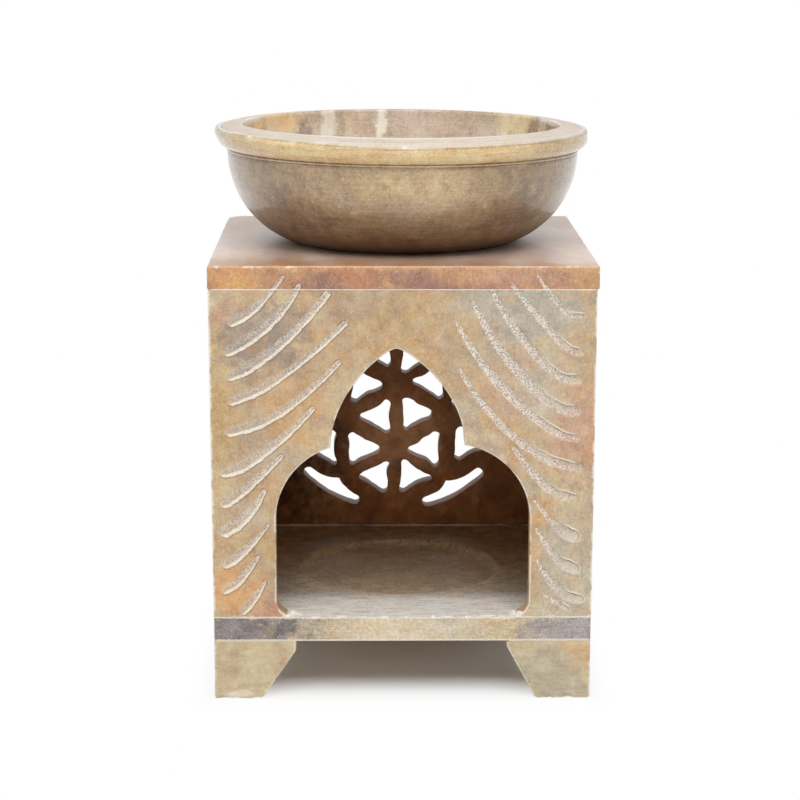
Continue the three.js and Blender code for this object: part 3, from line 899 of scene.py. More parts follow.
def through(face, lips, level, bore, low, high):
    """Loops in along the outer face, over its lips, through the stone and back along the inner face."""
    loops = face + lips + [lips[-1]] * len(bore) + lips[::-1] + face[::-1]
    near, far = np.full(len(face), low[1]), np.full(len(face), high[1])
    depth = np.concatenate([near, low[1] + level, bore, high[1] - level[::-1], far])
    flat = rings(loops, depth)[..., [0, 2, 1]]
    return flat + (MEDALLION_SHIFT, 0, low[2] + MEDALLION_HEIGHT)


def cell_grid(hole, edge, low, high):
    """One cell: its faces run from the edge to the hole's rounded arris, and the hole goes through."""
    inwards = (edge - hole) / np.maximum(np.linalg.norm(edge - hole, axis=1), 0.01)[:, None]
    inset, level = quarter(PIERCED_ARRIS)
    lips = [hole + near * inwards for near in inset]
    face = [edge + (lips[0] - edge) * share for share in np.linspace(0, 1, 5)[:-1]]
    bore = np.linspace(low[1] + PIERCED_ARRIS, high[1] - PIERCED_ARRIS, 5)[1:-1]
    return through(face, lips, level, bore, low, high)


print("middle of the medallion", MEDALLION_HEIGHT, "mm above the foot of the wall")

# %% Strayed holes
# Where a filed hole strays from its place in the net: column, row and half of the cell, then x and height.
STRAYS = {
    (-2, 0, 1): (-0.2, -0.9),
    (-1, -1, 0): (0.3, -0.8),
    (-1, -1, 1): (0.3, -0.5),
    (-1, 0, 0): (0.6, 0.9),
    (-1, 0, 1): (0.3, 0.1),
    (-1, 1, 1): (0.1, 2.4),
    (0, -2, 0): (0.4, -0.1),
    (0, -1, 0): (0.5, 1.1),
    (0, -1, 1): (-0.2, -0.6),
    (0, 0, 0): (0.2, 1.0),
    (0, 0, 1): (0.8, 1.7),
    (1, -2, 0): (1.4, 1.4),
}
STRAY_REACH = 5.0
STRAY_FADE = 2.5
FAR_WEIGHT = 0.02
FILED = 0.35
FILED_SIZE = 2.4


def net_triangles():
    """Middle, heading and stray of every triangle of the net whose three knots lie within its rings."""
    across, upward = polar(NET_PITCH, 30 + MEDALLION_LEAN), polar(NET_PITCH, 90 + MEDALLION_LEAN)
    triangles = []
    for i in range(-NET_RINGS, NET_RINGS + 1):
        for j in range(-NET_RINGS, NET_RINGS + 1):
            here = i * across + j * upward
            halves = [here, here + across, here + upward], [here + across, here + across - upward, here]
            for half, knots in enumerate(halves):
                if max(np.linalg.norm(knot) for knot in knots) < NET_PITCH * NET_RINGS + 0.1:
                    middle = sum(knots) / 3
                    heading = np.degrees(np.arctan2(*(knots[0] - middle)[::-1]))
                    triangles.append((middle, heading, STRAYS.get((i, j, half), (0, 0))))
    return triangles


def strayed(spots):
    """How far the filed holes carry the net along at each spot: their strays, blended by flat-topped weights
    of the distance to each hole's middle, and the file's wander, both fading out before the crescents."""
    middles = np.array([middle for middle, _, _ in triangles])
    strays = np.array([stray for _, _, stray in triangles])
    weight = bell(np.linalg.norm(spots[:, None] - middles, axis=2), STRAY_REACH, 4)
    blend = (weight @ strays) / (weight.sum(axis=1) + FAR_WEIGHT)[:, None]
    wander = np.column_stack([noise(as_points(spots), FILED_SIZE, seed) for seed in (65, 66)])
    inside = ramp(np.linalg.norm(spots, axis=1), CRESCENT_POINT, CRESCENT_POINT - STRAY_FADE)
    return inside[:, None] * (blend + FILED * wander)


triangles = net_triangles()
print("triangles in the net", len(triangles), "of which filed astray", len(STRAYS))

# %% Back wall
BACK_CHIP = 0.4
BACK_WANDER = 0.45
BACK_WANDER_SIZE = 4.0
BORED_FROM = 1.4
BORED_FULL = 2.8


def rim_grid(low, high):
    """From the medallion's rim out to the panel's edge, round it, and back in on the other face."""
    turns = np.concatenate([np.linspace(60 * k - 30, 60 * k + 30, ARC_STEPS)[:-1] for k in range(6)])
    turns = np.radians(turns + MEDALLION_LEAN)
    heading = np.stack([np.cos(turns), np.sin(turns)], axis=1)
    centre = np.array([MEDALLION_SHIFT, low[2] + MEDALLION_HEIGHT])
    room = np.where(heading > 0, high[[0, 2]] - centre, centre - low[[0, 2]])
    outside = heading * (room / np.maximum(np.abs(heading), 1e-6)).min(axis=1)[:, None]
    for x in (low[0], high[0]):
        for z in (low[2], high[2]):
            corner = np.array([x, z]) - centre
            outside[np.linalg.norm(outside - corner, axis=1).argmin()] = corner
    rim = MEDALLION_RIM * heading
    inset, level = quarter(ARRIS)
    lips = [outside - near * heading for near in inset]
    face = [rim + (lips[0] - rim) * share for share in np.linspace(0, 1, 9)[:-1]]
    return through(face, lips, level, [], low, high)


def back_dress(points):
    """Hand-filed holes: they stray from the net, and the stone round them wanders a little. The bored sides
    are marked for the finish."""
    moved, wear = weathered(points, back_low, back_high, BACK_CHIP, 71)
    spots = points[:, [0, 2]] - (MEDALLION_SHIFT, back_low[2] + MEDALLION_HEIGHT)
    inside = ramp(np.linalg.norm(spots, axis=1), MEDALLION_RIM, MEDALLION_RIM - 3)
    wander = np.column_stack([ragged(points * (1, 0.2, 1), BACK_WANDER_SIZE, seed) for seed in (73, 79)])
    moved[:, [0, 2]] += strayed(spots) + BACK_WANDER * inside[:, None] * wander
    depth = points[:, 1]
    bored = inside * ramp(depth - back_low[1], BORED_FROM, BORED_FULL) * (depth < back_high[1] - 0.3)
    return moved, {"wear": wear, "bored": bored}


back_low, back_high = box_mm("back_wall")
cells = [net_cell(middle, heading) for middle, heading, _ in triangles]
cells += [crescent_cell(60 * k + MEDALLION_LEAN, *CRESCENT_STRAYS.get(k, (0, 0))) for k in range(6)]
back_grids = [(cell_grid(hole, edge, back_low, back_high), False, True) for hole, edge in cells]
back_grids.append((rim_grid(back_low, back_high), False, True))
back = skin("back_wall_stone", back_grids, back_dress)
print("holes in the back wall", len(cells))

# %% [markdown]
# ## Oil bowl
# The bowl is turned on a lathe: a flat foot, a swelling flank, a fine groove, a rolled rim, and a hollow.
# Blender's Spin tool or a Screw modifier would turn a profile too. Rings keep the columns in hand, so the
# turned rim can lose its chips and the wall can wander by the tenth of a millimetre that the hand leaves.

# %% Profile of the bowl
RIM_BAND = 5.5
LIP_DROP = 1.8
LIP_ROLL = 0.7
LIP_ROUND = 0.9
BODY_RADIUS = 36.7
FLANK_REACH = 18.7
FOOT_CUT = 0.4
FOOT_ROUND = 0.4
GROOVE = 0.1
BEAD = 0.45
BEAD_PROUD = 0.4
BAND_UNDERCUT = (1.2, 0.15)
BAND_SHOULDER = 1.75
LIP_STEP = (0.2, 0.08)
MOUTH_RADIUS = 33.1
MOUTH_REACH = 18.6
MOUTH_ROUND = (0.6, 0.8)
BOWL_FLOOR = 5.0
BOWL_COLUMNS = 320


def ellipse(centre, reach_r, reach_z, start, stop, steps):
    """Points on an upright ellipse in the plane of radius and height, from one angle to another."""
    return np.array(centre) + arc((0, 0), 1, start, stop, steps) * (reach_r, reach_z)


def bowl_profile(height, rim_radius):
    """Radius and height from the middle of the foot, up the flank, over the rim and down the hollow."""
    band = height - RIM_BAND
    tall = band + FOOT_CUT
    centre = BODY_RADIUS - FLANK_REACH
    foot_turn = -np.degrees(np.arcsin(band / tall))
    groove_turn = -np.degrees(np.arcsin(GROOVE / tall))
    flank = ellipse((centre, band), FLANK_REACH, tall, foot_turn, 2 * groove_turn, 48)
    foot = np.stack([np.linspace(0, flank[0, 0] - FOOT_ROUND, 10), np.zeros(10)], axis=1)
    groove = curve([flank[-1], (BODY_RADIUS - GROOVE, band - GROOVE), (BODY_RADIUS, band)], 9)[1:]
    bead_handles = (BODY_RADIUS + BEAD_PROUD, band + BEAD / 2), (BODY_RADIUS - GROOVE, band + BEAD)
    bead = curve([(BODY_RADIUS, band), *bead_handles], 7)[1:]
    crease = (BODY_RADIUS - GROOVE, band + BEAD + GROOVE)
    under = (BODY_RADIUS + BAND_UNDERCUT[0], band + BEAD + GROOVE + BAND_UNDERCUT[1])
    shoulder = (rim_radius, height - LIP_DROP - BAND_SHOULDER)
    band_side = curve([crease, under, shoulder, (rim_radius, height - LIP_DROP)], 18)
    lip_top = height - LIP_ROLL
    lip = curve([band_side[-1], (rim_radius, lip_top), (rim_radius - LIP_ROUND, lip_top)], 10)[1:]
    step = (rim_radius - LIP_ROUND - LIP_STEP[0], lip_top - LIP_STEP[1])
    brim = (MOUTH_RADIUS + MOUTH_ROUND[0], height)
    top = curve([step, ((rim_radius + MOUTH_RADIUS) / 2, height), brim], 12)
    mouth = curve([top[-1], (MOUTH_RADIUS, height), (MOUTH_RADIUS, height - MOUTH_ROUND[1])], 6)[1:]
    inner = ellipse((MOUTH_RADIUS - MOUTH_REACH, height), MOUTH_REACH, height - BOWL_FLOOR, -3, -90, 44)
    floor = np.stack([np.linspace(inner[-1, 0], 0, 9)[1:], np.full(8, BOWL_FLOOR)], axis=1)
    sides = [foot, flank[1:], groove, bead, band_side, lip]
    return np.vstack([*sides, [step], top[1:], mouth, inner[1:], floor])


def bowl_grid(low, high):
    """One circle for each point of the profile."""
    profile = bowl_profile(high[2] - low[2], high[0])
    loops = [circle_loop(radius, BOWL_COLUMNS) for radius in profile[:, 0]]
    return rings(loops, low[2] + profile[:, 1])


print("bowl of", BODY_RADIUS, "mm in radius below its rim")

# %% What the hand left
SWAY = 0.3
SWAY_FADE = 1.5
TILT = 0.0045
TURNED_WANDER = 0.1
TURNED_WANDER_SIZE = 16.0
RIM_CHIP = 1.1
RIM_CHIP_SIZE = 1.3
RIM_CHIP_REACH = 0.9


def bowl_shape(points, radius, height, top, outer):
    """Moved points and chips: the turned wall wanders, the rim's outer edge loses small chips, and the bowl
    stands a hair's breadth aside and aslant."""
    lip = np.hypot(radius - bowl_high[0] + 0.5, height - (top - LIP_ROLL - 0.4))
    chips = bell(lip, RIM_CHIP_REACH) * broken(points, RIM_CHIP_SIZE, 81, CHIP_LEVEL)
    hand = noise(points * (1, 1, 0.4), TURNED_WANDER_SIZE, 83) - 1
    wander = TURNED_WANDER * ramp(height, 0, 3) * hand
    shrink = np.where(radius > 1, (wander - RIM_CHIP * chips) / np.maximum(radius, 1), 0)
    moved = points * (1 + np.stack([shrink, shrink, 0 * shrink], axis=1))
    moved[:, 0] += SWAY * ramp(height, top - LIP_DROP, top - LIP_DROP - SWAY_FADE) * outer
    moved[:, 2] -= 0.5 * chips + TILT * points[:, 0] * np.clip(height / top, 0, 1)
    return moved, chips


print("the bowl stands aside by", SWAY, "mm and aslant by", round(np.degrees(TILT), 2), "degrees")

# %% Oil bowl
LOW_SHADE = 10.8
FLANK_SKIN = 1.5
FAR_SIDE = (6, 22)
MOUTH_HIGHLIGHT = (0.35, 2.2)
MOUTH_SKIN = 1.2
LIP_HIGHLIGHT = 0.4
OUTSIDE = (0.3, 0.6)
NICKED_LINE = 0.8
# How far the dark line of the rim rises above the lip's lower edge at the left, the middle and the right.
LINE_STOPS = (-30, 0, 30)
LINE_RISE = (1.0, 0.0, 0.5)
# The tan band under the lip is fainter towards both sides.
BAND_STOPS = (-36, -26, 20, 30)
BAND_SHARES = (0.65, 1, 1, 0.55)


def bowl_dress(points):
    """The shape, and layers for the finish: nicks and painted highlights round the rim, dark lines round it,
    its top painted pale as a sheen, its tan band, the bead under it, painted shade on the lower flank, and
    where the wax is dull."""
    x, y, z = points.T
    radius = np.hypot(x, y)
    height, top = z - bowl_low[2], bowl_high[2] - bowl_low[2]
    rounding = 1 - ((top - RIM_BAND - height) / (top - RIM_BAND + FOOT_CUT)) ** 2
    flank = BODY_RADIUS - FLANK_REACH * (1 - np.sqrt(np.clip(rounding, 0, 1)))
    outer = radius > flank - FLANK_SKIN
    moved, chips = bowl_shape(points, radius, height, top, outer)
    behind = ramp(y, *FAR_SIDE)
    # Painted highlights: a pale line along the mouth, wider towards the front, and along the lip's outer
    # round, both left off the far side; they go into the wear mark with the nicks and chips.
    facing = np.clip(-y / np.maximum(radius, 1), 0, 1)
    mouth_highlight_reach = MOUTH_HIGHLIGHT[0] + MOUTH_HIGHLIGHT[1] * facing**2
    mouth = bell(radius - MOUTH_RADIUS, mouth_highlight_reach, 4) * (height > top - MOUTH_SKIN)
    edge = bell(np.hypot(radius - bowl_high[0] + LIP_ROUND, height - top + LIP_ROLL), LIP_HIGHLIGHT)
    outside = ramp(radius - MOUTH_RADIUS, *OUTSIDE)
    groove = height - (top - RIM_BAND)
    crease = groove - BEAD - GROOVE / 2
    lip_line = height - (top - LIP_DROP + np.interp(x, LINE_STOPS, LINE_RISE))
    nicks = 0.7 * bell(lip_line + 0.5, NICKED_LINE) * outside * broken(points, NICKED_LINE, 85, -1, 3)
    worn_and_highlight = np.max([nicks, mouth * (1 - behind), 0.9 * edge * (1 - behind)], axis=0)
    # Dark lines at the crease, the groove and the lip's lower edge.
    dark_lines = [(crease, 0.1, 0.9), (groove + 0.08, 0.16, 1.0), (lip_line, 0.14, 0.7)]
    soil = np.max([share * bell(gap, wide) for gap, wide, share in dark_lines], axis=0)
    # Painted sheen: the flat top of the rim is painted pale in place of its grazing reflection, and less pale
    # on the far side.
    pale = ramp(lip_line, 0, 0.15) * outside
    # Painted shade: the outer flank is darkened towards the foot.
    low = ramp(height, LOW_SHADE, 0) ** 0.85 * outer
    banded = np.interp(x, BAND_STOPS, BAND_SHARES)
    return moved, {
        "wear": np.clip(worn_and_highlight + 3 * chips, 0, 1),
        "soil": soil * outside,
        "pale": pale,
        "far": pale * behind,
        "band": ramp(crease, 0, 0.1) * outside * banded,
        "bead": bell(groove - 0.25, 0.18, 4) * outside,
        "low": low,
        "matt": np.maximum(pale, np.clip(1.4 * low, 0, 1)),
    }


bowl_low, bowl_high = box_mm("oil_bowl")
bowl = skin("oil_bowl_stone", [(bowl_grid(bowl_low, bowl_high), False, True)], bowl_dress)

# %% [markdown]
# ## Glue
# The stones are set in a pale adhesive that was pressed out a little at the joints. It shows as a thin
# broken line under the roof and under the walls, as lumps at the feet of the doorway, and as a bead along
# the foot of the back wall inside. Each is a rounded section carried along a path, with a wandering width.

# %% Beds of glue
BED_PROUD = 0.1
BED_WIDTH = 4.3
BED_INSET = 4.0
BED_CORNER = 0.5
BED_STEPS = 420
BED_WANDER = 0.07
BED_WANDER_SIZE = 3.0
BED_INTO_DOOR = 0.3
# How far each bed sinks into the stone below and above it.
ROOF_BED_SUNK = (0.06, 0.02)
BASE_BED_SUNK = (0.05, 0.05)


def bed_grid(path, inwards, box, sunk):
    """A flat oval section along a path in plan: in by the bed's width, and high enough to fill its gap."""
    low, high = box[0][2] - sunk[0], box[1][2] + sunk[1]
    turn = np.linspace(0, 2 * np.pi, 12, endpoint=False)
    across = BED_WIDTH / 2 * (1 - np.cos(turn))
    squared = np.sign(np.sin(turn)) * np.abs(np.sin(turn)) ** 0.25
    level = (low + high) / 2 + (high - low) / 2 * squared
    plan = path[:, None] + inwards[:, None] * across[None, :, None]
    return np.concatenate([plan, np.broadcast_to(level, plan.shape[:2])[..., None]], axis=2)


def open_path(half, toe):
    """A square in plan, from the right toe of the doorway round its four corners to the left toe."""
    corners = [(toe, -half), (half, -half), (half, half), (-half, half), (-half, -half), (-toe, -half)]
    return evenly(np.array(corners), BED_STEPS)


def bed_dress(seed):
    """Returns the dressing of a bed: its outer edge wanders, so the line looks broken from the front."""

    def dress(points):
        outwards = points / np.linalg.norm(points[:, :2], axis=1)[:, None] * (1, 1, 0)
        return points + BED_WANDER * ragged(points, BED_WANDER_SIZE, seed)[:, None] * outwards, {}

    return dress


half = BED_PROUD - front_low[1]
inset = half - BED_INSET
roof_path = square_loop(half, half, BED_CORNER, BED_STEPS)
roof_inwards = towards(roof_path, square_loop(inset, inset, BED_CORNER, BED_STEPS))
roof_bed_points = bed_grid(roof_path, roof_inwards, box_mm("roof_bond"), ROOF_BED_SUNK)
roof_bed = skin("roof_glue", [(roof_bed_points, True, True)], bed_dress(91))

toe = door[-1, 0] - BED_INTO_DOOR
base_path = open_path(half, toe)
base_inwards = towards(base_path, open_path(inset, toe))
base_bed_points = bed_grid(base_path, base_inwards, box_mm("base_bond"), BASE_BED_SUNK)
base_bed = skin("wall_glue", [(base_bed_points, False, True)], bed_dress(95))

# %% Bead of glue inside
FILLET = 0.36
FILLET_WANDER_SIZE = 4.0
FILLET_SUNK = (0.1, 0.05)
FILLET_STEPS = 220


def fillet_grid(start, stop, seed):
    """A quarter-round bead along the foot of the back wall, its size wandering with the length."""
    x = np.linspace(start, stop, FILLET_STEPS)
    spots = np.stack([x, 0 * x, 0 * x], axis=1)
    taper = np.clip((x - start) / 2, 0.1, 1) * np.clip((stop - x) / 2, 0.1, 1)
    size = FILLET * np.clip(0.8 + 1.3 * ragged(spots, FILLET_WANDER_SIZE, seed), 0.15, 1.6) * taper
    turn = np.linspace(0, np.pi / 2, 8)
    out = np.concatenate([np.cos(turn), [-0.3, -0.3]])
    up = np.concatenate([np.sin(turn), [1.0, -0.3]])
    depth = back_low[1] + FILLET_SUNK[0] - size[:, None] * out
    level = base_high[2] - FILLET_SUNK[1] + size[:, None] * up
    return np.stack([np.broadcast_to(x[:, None], depth.shape), depth, level], axis=2)


def plain_dress(points):
    """Nothing more to do."""
    return points, {}


inner = sides["right_wall"].bound_box[0][0] / MM
fillet = skin("back_seam_glue", [(fillet_grid(-inner, inner, 101), False, True)], plain_dress)

# %% Lumps and crumbs of glue
LUMP_LIFT = 0.1


def lump_grid(x, y, z, size, seed):
    """A squeezed lump: a flattened ball whose radius follows the noise of its own direction."""
    around = np.linspace(0, 2 * np.pi, 32, endpoint=False)
    turn, lift = np.meshgrid(around, np.linspace(-np.pi / 2, np.pi / 2, 18))
    ball = np.stack([np.cos(lift) * np.cos(turn), np.cos(lift) * np.sin(turn), np.sin(lift)], axis=2)
    swell = 1 + 0.6 * ragged(ball.reshape(-1, 3), 0.7, seed).reshape(turn.shape)
    return ball * swell[..., None] * np.array(size) + np.array([x, y, z])


# Each lump: x, y, and its reach along the three axes. The small ones are crumbs along the slab's front edge.
LUMPS = [
    (-toe, -36.9, (1.1, 0.9, 0.4)),
    (-toe + 0.9, -34.6, (0.8, 1.3, 0.45)),
    (-toe + 1.6, -35.6, (1.2, 0.5, 0.25)),
    (toe + 0.9, -36.6, (1.3, 1.1, 0.7)),
    (toe - 0.8, -34.8, (0.7, 1.2, 0.4)),
    (-17.6, -37.5, (0.9, 0.35, 0.16)),
    (-12.4, -37.3, (1.3, 0.4, 0.16)),
    (-7.9, -37.5, (0.6, 0.3, 0.14)),
    (-3.6, -37.2, (1.0, 0.4, 0.14)),
    (0.6, -37.5, (0.5, 0.3, 0.16)),
    (6.1, -37.5, (0.45, 0.35, 0.28)),
    (8.9, -37.3, (1.1, 0.35, 0.14)),
    (13.0, -37.4, (0.7, 0.3, 0.16)),
    (17.1, -37.0, (1.4, 0.5, 0.2)),
    (20.0, -37.3, (0.8, 0.4, 0.16)),
]
lump_grids = [(lump_grid(x, y, base_high[2] + LUMP_LIFT, size, 105 + k), False, True)
              for k, (x, y, size) in enumerate(LUMPS)]
lumps = skin("doorway_glue", lump_grids, plain_dress)

# %% [markdown]
# ## Everything rides on a body
# The bowl is loose and lifts off, so it is a body of its own. All other stones and the glue belong to the
# house. Each new piece stands for the solid in the same place.

# %% Bodies and the solids they stand for
def settle(piece, body, slot, *nodes):
    """The piece moves with the body and hides the solids that it stands for. The slot is not used."""
    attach(piece, body)
    if nodes:
        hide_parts(*nodes)


settle(bowl, "bowl", "bowl_stone", "oil_bowl")
settle(roof, "house", "roof_stone", "roof_slab")
settle(front, "house", "front_stone", "front_wall")
settle(back, "house", "back_stone", "back_wall")
settle(base, "house", "base_stone", "base_slab")
settle(roof_bed, "house", "bond", "roof_bond")
settle(base_bed, "house", "bond", "base_bond")
settle(fillet, "house", "bond")
settle(lumps, "house", "bond")
for name, piece in sides.items():
    settle(piece, "house", "wall_stone", name)
for place, piece in feet.items():
    settle(piece, "house", "foot_stone", place + "_foot")

# %% [markdown]
# ## Shader sums in plain Python
# A stone's colour is a long sum of masks, and wiring that by hand hides the idea. One small class wraps an
# output socket and takes over the operators, so that an expression writes its own Math nodes. Every other
# node comes from one method that sets its options first and then fills its sockets.

# %% Values that write their own sums
class Value:
    """One output socket; arithmetic on it adds Math nodes to the same tree."""

    def __init__(self, finish, socket):
        self.finish = finish
        self.socket = socket

    def math(self, operation, first, second):
        return self.finish.node("ShaderNodeMath", {"operation": operation}, {0: first, 1: second})

    def __add__(self, other):
        return self.math("ADD", self, other)

    def __radd__(self, other):
        return self.math("ADD", other, self)

    def __sub__(self, other):
        return self.math("SUBTRACT", self, other)

    def __rsub__(self, other):
        return self.math("SUBTRACT", other, self)

    def __mul__(self, other):
        return self.math("MULTIPLY", self, other)

    def __rmul__(self, other):
        return self.math("MULTIPLY", other, self)


print("a value answers to", [name for name in vars(Value) if name.startswith("__r")])

# %% Finishes
class Finish:
    """A node tree under construction, for a stone, the glue, the floor or the light around."""

    def __init__(self, tree):
        self.tree = tree

    def node(self, kind, settings, sockets, output=0):
        """Adds a node, sets its options, then gives each named socket a number, a colour or a link."""
        made = self.tree.nodes.new(kind)
        for key, value in settings.items():
            setattr(made, key, value)
        self.fill(made, sockets)
        return Value(self, made.outputs[output])

    def fill(self, made, sockets):
        """Numbers and colours are set on the socket itself; values are linked to it."""
        for key, value in sockets.items():
            if isinstance(value, Value):
                self.tree.links.new(value.socket, made.inputs[key])
            else:
                made.inputs[key].default_value = value

    def place(self):
        """The point on the piece, in millimetres."""
        point = self.node("ShaderNodeTexCoord", {}, {}, "Object")
        return self.stretch(point, (1 / MM, 1 / MM, 1 / MM))

    def vector(self, operation, *inputs, output=0):
        """Vector Math on points."""
        return self.node("ShaderNodeVectorMath", {"operation": operation}, dict(enumerate(inputs)), output)

    def axis(self, point, letter):
        """One coordinate of the point."""
        return self.node("ShaderNodeSeparateXYZ", {}, {0: point}, letter)

    def ray(self, kind):
        """1 where the surface is met by a ray of this kind."""
        return self.node("ShaderNodeLightPath", {}, {}, kind)

    def stretch(self, point, scale):
        """The point with each axis multiplied by its own number."""
        return self.vector("MULTIPLY", point, scale)

    def grain(self, point, scale, detail=3.0, rough=0.55, output=0):
        """Noise over the point; scale counts the lumps in each millimetre."""
        sockets = {"Vector": point, "Scale": scale, "Detail": detail, "Roughness": rough}
        return self.node("ShaderNodeTexNoise", {}, sockets, output)

    def between(self, value, low, high):
        """A smooth step: 0 below low, 1 above high."""
        sockets = {"Value": value, "From Min": low, "From Max": high}
        return self.node("ShaderNodeMapRange", {"interpolation_type": "SMOOTHSTEP"}, sockets)

    def mix(self, share, first, second, blend="MIX"):
        """One colour into another by a share. A Mix node's colour sockets are its inputs 6 and 7."""
        settings = {"data_type": "RGBA", "blend_type": blend, "clamp_factor": True}
        return self.node("ShaderNodeMix", settings, {0: share, 6: first, 7: second}, 2)

    def attribute(self, name):
        """A number that the mesh carries at each of its points."""
        return self.node("ShaderNodeAttribute", {"attribute_name": name}, {}, "Fac")

    def push(self, point, scale, reach):
        """The point moved by a noise of its own, up to about a quarter of the reach each way."""
        swirl = self.grain(point, scale, 4.0, 0.6, "Color")
        centred = self.vector("SUBTRACT", swirl, (0.5, 0.5, 0.5))
        return self.vector("MULTIPLY_ADD", centred, (reach, reach, reach), point)

    def patch(self, point, centre, reach, edge):
        """An egg-shaped mask: the distance from the centre, counted in reaches, with noise along its edge."""
        counted = self.vector("DIVIDE", self.vector("SUBTRACT", point, centre), reach)
        length = self.vector("LENGTH", counted, output="Value")
        return self.between(length + 0.9 * (edge - 0.5), 1.0, 0.4)


print("a finish can", [name for name in vars(Finish) if not name.startswith("_")])

# %% [markdown]
# ## Soapstone
# Soapstone is a soft, cloudy rock: tan to grey, with patches of orange, mauve and olive, pale flecks and
# thin veins. The saw leaves fine parallel lines, wax gives the faces a satin sheen, and bruised or freshly
# cut stone turns chalky. All stones share one recipe with their own colours and their own patches.

# %% Colours of the stone
def tint(red, green, blue):
    """A colour as it is seen, 0 to 255, turned into the linear numbers that a shader takes."""
    seen = np.array([red, green, blue]) / 255
    linear = np.where(seen <= 0.04045, seen / 12.92, ((seen + 0.055) / 1.055) ** 2.4)
    return (*linear.tolist(), 1.0)


TAN = tint(203, 171, 131)
SAND = tint(208, 185, 151)
GOLD = tint(206, 170, 110)
HONEY = tint(217, 168, 114)
ROSE = tint(206, 160, 134)
RUST = tint(196, 128, 92)
MAUVE = tint(168, 152, 140)
OLIVE = tint(187, 178, 155)
GREY = tint(186, 175, 157)
SLATE = tint(146, 136, 134)
CREAM = tint(246, 238, 220)
ASH = tint(189, 172, 170)
TAUPE = tint(170, 148, 124)
UMBER = tint(84, 52, 30)
PLUM = tint(128, 106, 102)
SPECK = tint(112, 90, 74)
WHITE = tint(255, 255, 255)
print("tan in linear numbers", np.round(TAN, 3))

# %% Smears and painted sheen on a top face
SMEAR_FADE = 12.0


def smeared(stone, at, colour, sheen_smear):
    """A pale film from a front edge inwards, streaked along the depth: partly smudged polish, partly a
    painted sheen of the top face. Also returns the top face's mask.
    """
    dull_smear, bright_smear, level, edge = sheen_smear
    upward = stone.between(stone.axis(at, "Z"), level - 0.1, level)
    smudge = stone.grain(stone.stretch(at, (0.1, 0.035, 0.1)), 1.0, 4.0, 0.5)
    slant = stone.axis(at, "Y") + 0.12 * stone.axis(at, "X") + SMEAR_FADE * (smudge - 0.5)
    inwards = stone.between(slant, edge, edge + SMEAR_FADE)
    sheen_film = upward * (0.6 * inwards + 0.4 * stone.between(smudge, 0.4, 0.65))
    wisps = stone.between(stone.grain(stone.stretch(at, (0.09, 0.05, 0.1)), 1.0, 3.0, 0.5), 0.4, 0.6)
    return stone.mix(sheen_film, colour, stone.mix(wisps, dull_smear, bright_smear)), upward


print("a smear fades over", SMEAR_FADE, "mm")

# %% Dust, painted light and painted shade in the carved strokes
def dusted_and_lit(stone, at, colour, fine):
    """Stone powder in the strokes, read from the marks that the mesh carries. A stroke of the left fan melts
    into the face above, and cream is painted on its lower side as the light its lower wall catches. One of
    the right fan has a pale lip near its end, a painted highlight with painted shade under it, and the lowest
    end in a bulb with a pale outline and painted shade. A dark line under the lower edge of the left strokes
    and the bulbs is a painted shadow. Also returns the mask of the strokes and the powder."""
    powder = stone.grain(at, 3.5, 2.0, 0.7)
    lean, dusty, run = (stone.attribute(key) for key in ("lean", "dust", "run"))
    inside = stone.attribute("inside") + 0.2 * (fine - 0.5) + 0.4 * (powder - 0.5)
    leaning = lean + 0.6 * (fine - 0.5) + 0.4 * (powder - 0.5)
    right_hand = stone.between(stone.axis(at, "X"), -2.0, 2.0)
    left_hand = 1.0 - right_hand
    bulb = stone.between(dusty, 0.5, 0.3) * right_hand
    melting = stone.between(lean, -0.1, 0.4) * left_hand * stone.between(inside, 0.6, 0.05)
    melting = melting * (0.3 + 0.4 * stone.between(run, 0.5, 0.85))
    ending = stone.between(run, 0.84, 1.0) * (right_hand - bulb)
    carve = stone.between(inside, -0.06, 0.12) * (1.0 - melting) * (1.0 - 0.35 * ending)
    gap = stone.between(leaning, -0.1, -0.3) * stone.between(run, 0.45, 0.8) * left_hand
    # Painted light: cream on the lower side of a left stroke.
    lit = stone.between(leaning, -0.32, -0.6) * left_hand
    dust = stone.mix(0.15 + 0.4 * dusty, colour, ASH)
    dust = stone.mix(0.3 * bulb, dust, CREAM)
    dust = stone.mix(dusty * stone.between(powder, 0.43, 0.58), dust, CREAM)
    dust = stone.mix(0.6 * dusty * stone.between(powder, 0.43, 0.32), dust, PLUM)
    dust = stone.mix(0.45 * gap, dust, colour)
    dust = stone.mix(0.95 * lit * stone.between(powder, 0.3, 0.46), dust, CREAM)
    colour = stone.mix(carve, colour, dust)
    outline = stone.attribute("inside") + 0.12 * (fine - 0.5)
    # Painted highlight on the lip of a right stroke, painted shade just under it and in the bulbs, and a
    # painted shadow line under the lower edge.
    rim = stone.between(outline, -0.34, -0.14) * stone.between(outline, 0.06, -0.05)
    lip = stone.between(lean, 0.1, 0.6) * stone.between(run, 0.6, 0.85) * stone.between(run, 1.0, 0.95)
    lip = lip * right_hand
    shaded = stone.between(outline, 0.0, 0.12) * stone.between(outline, 0.4, 0.16)
    shaded = shaded * (bulb * stone.between(lean, -0.3, 0.3) + lip * stone.between(run, 0.75, 0.9))
    painted_shadow_line = rim * stone.between(lean, -0.3, -0.8)
    colour = stone.mix(rim * (lip + 0.6 * bulb), colour, CREAM)
    colour = stone.mix(0.5 * shaded, colour, PLUM)
    colour = stone.mix(painted_shadow_line * (0.55 * left_hand + 0.5 * bulb), colour, SPECK)
    return colour, carve, powder


print("powder lies in", len(STROKES), "strokes")

# %% Clouds and veins
CLOUD_SCALE = 0.07
VEIN_SCALE = 0.045
VEIN_WIDTH = (0.016, 0.002)


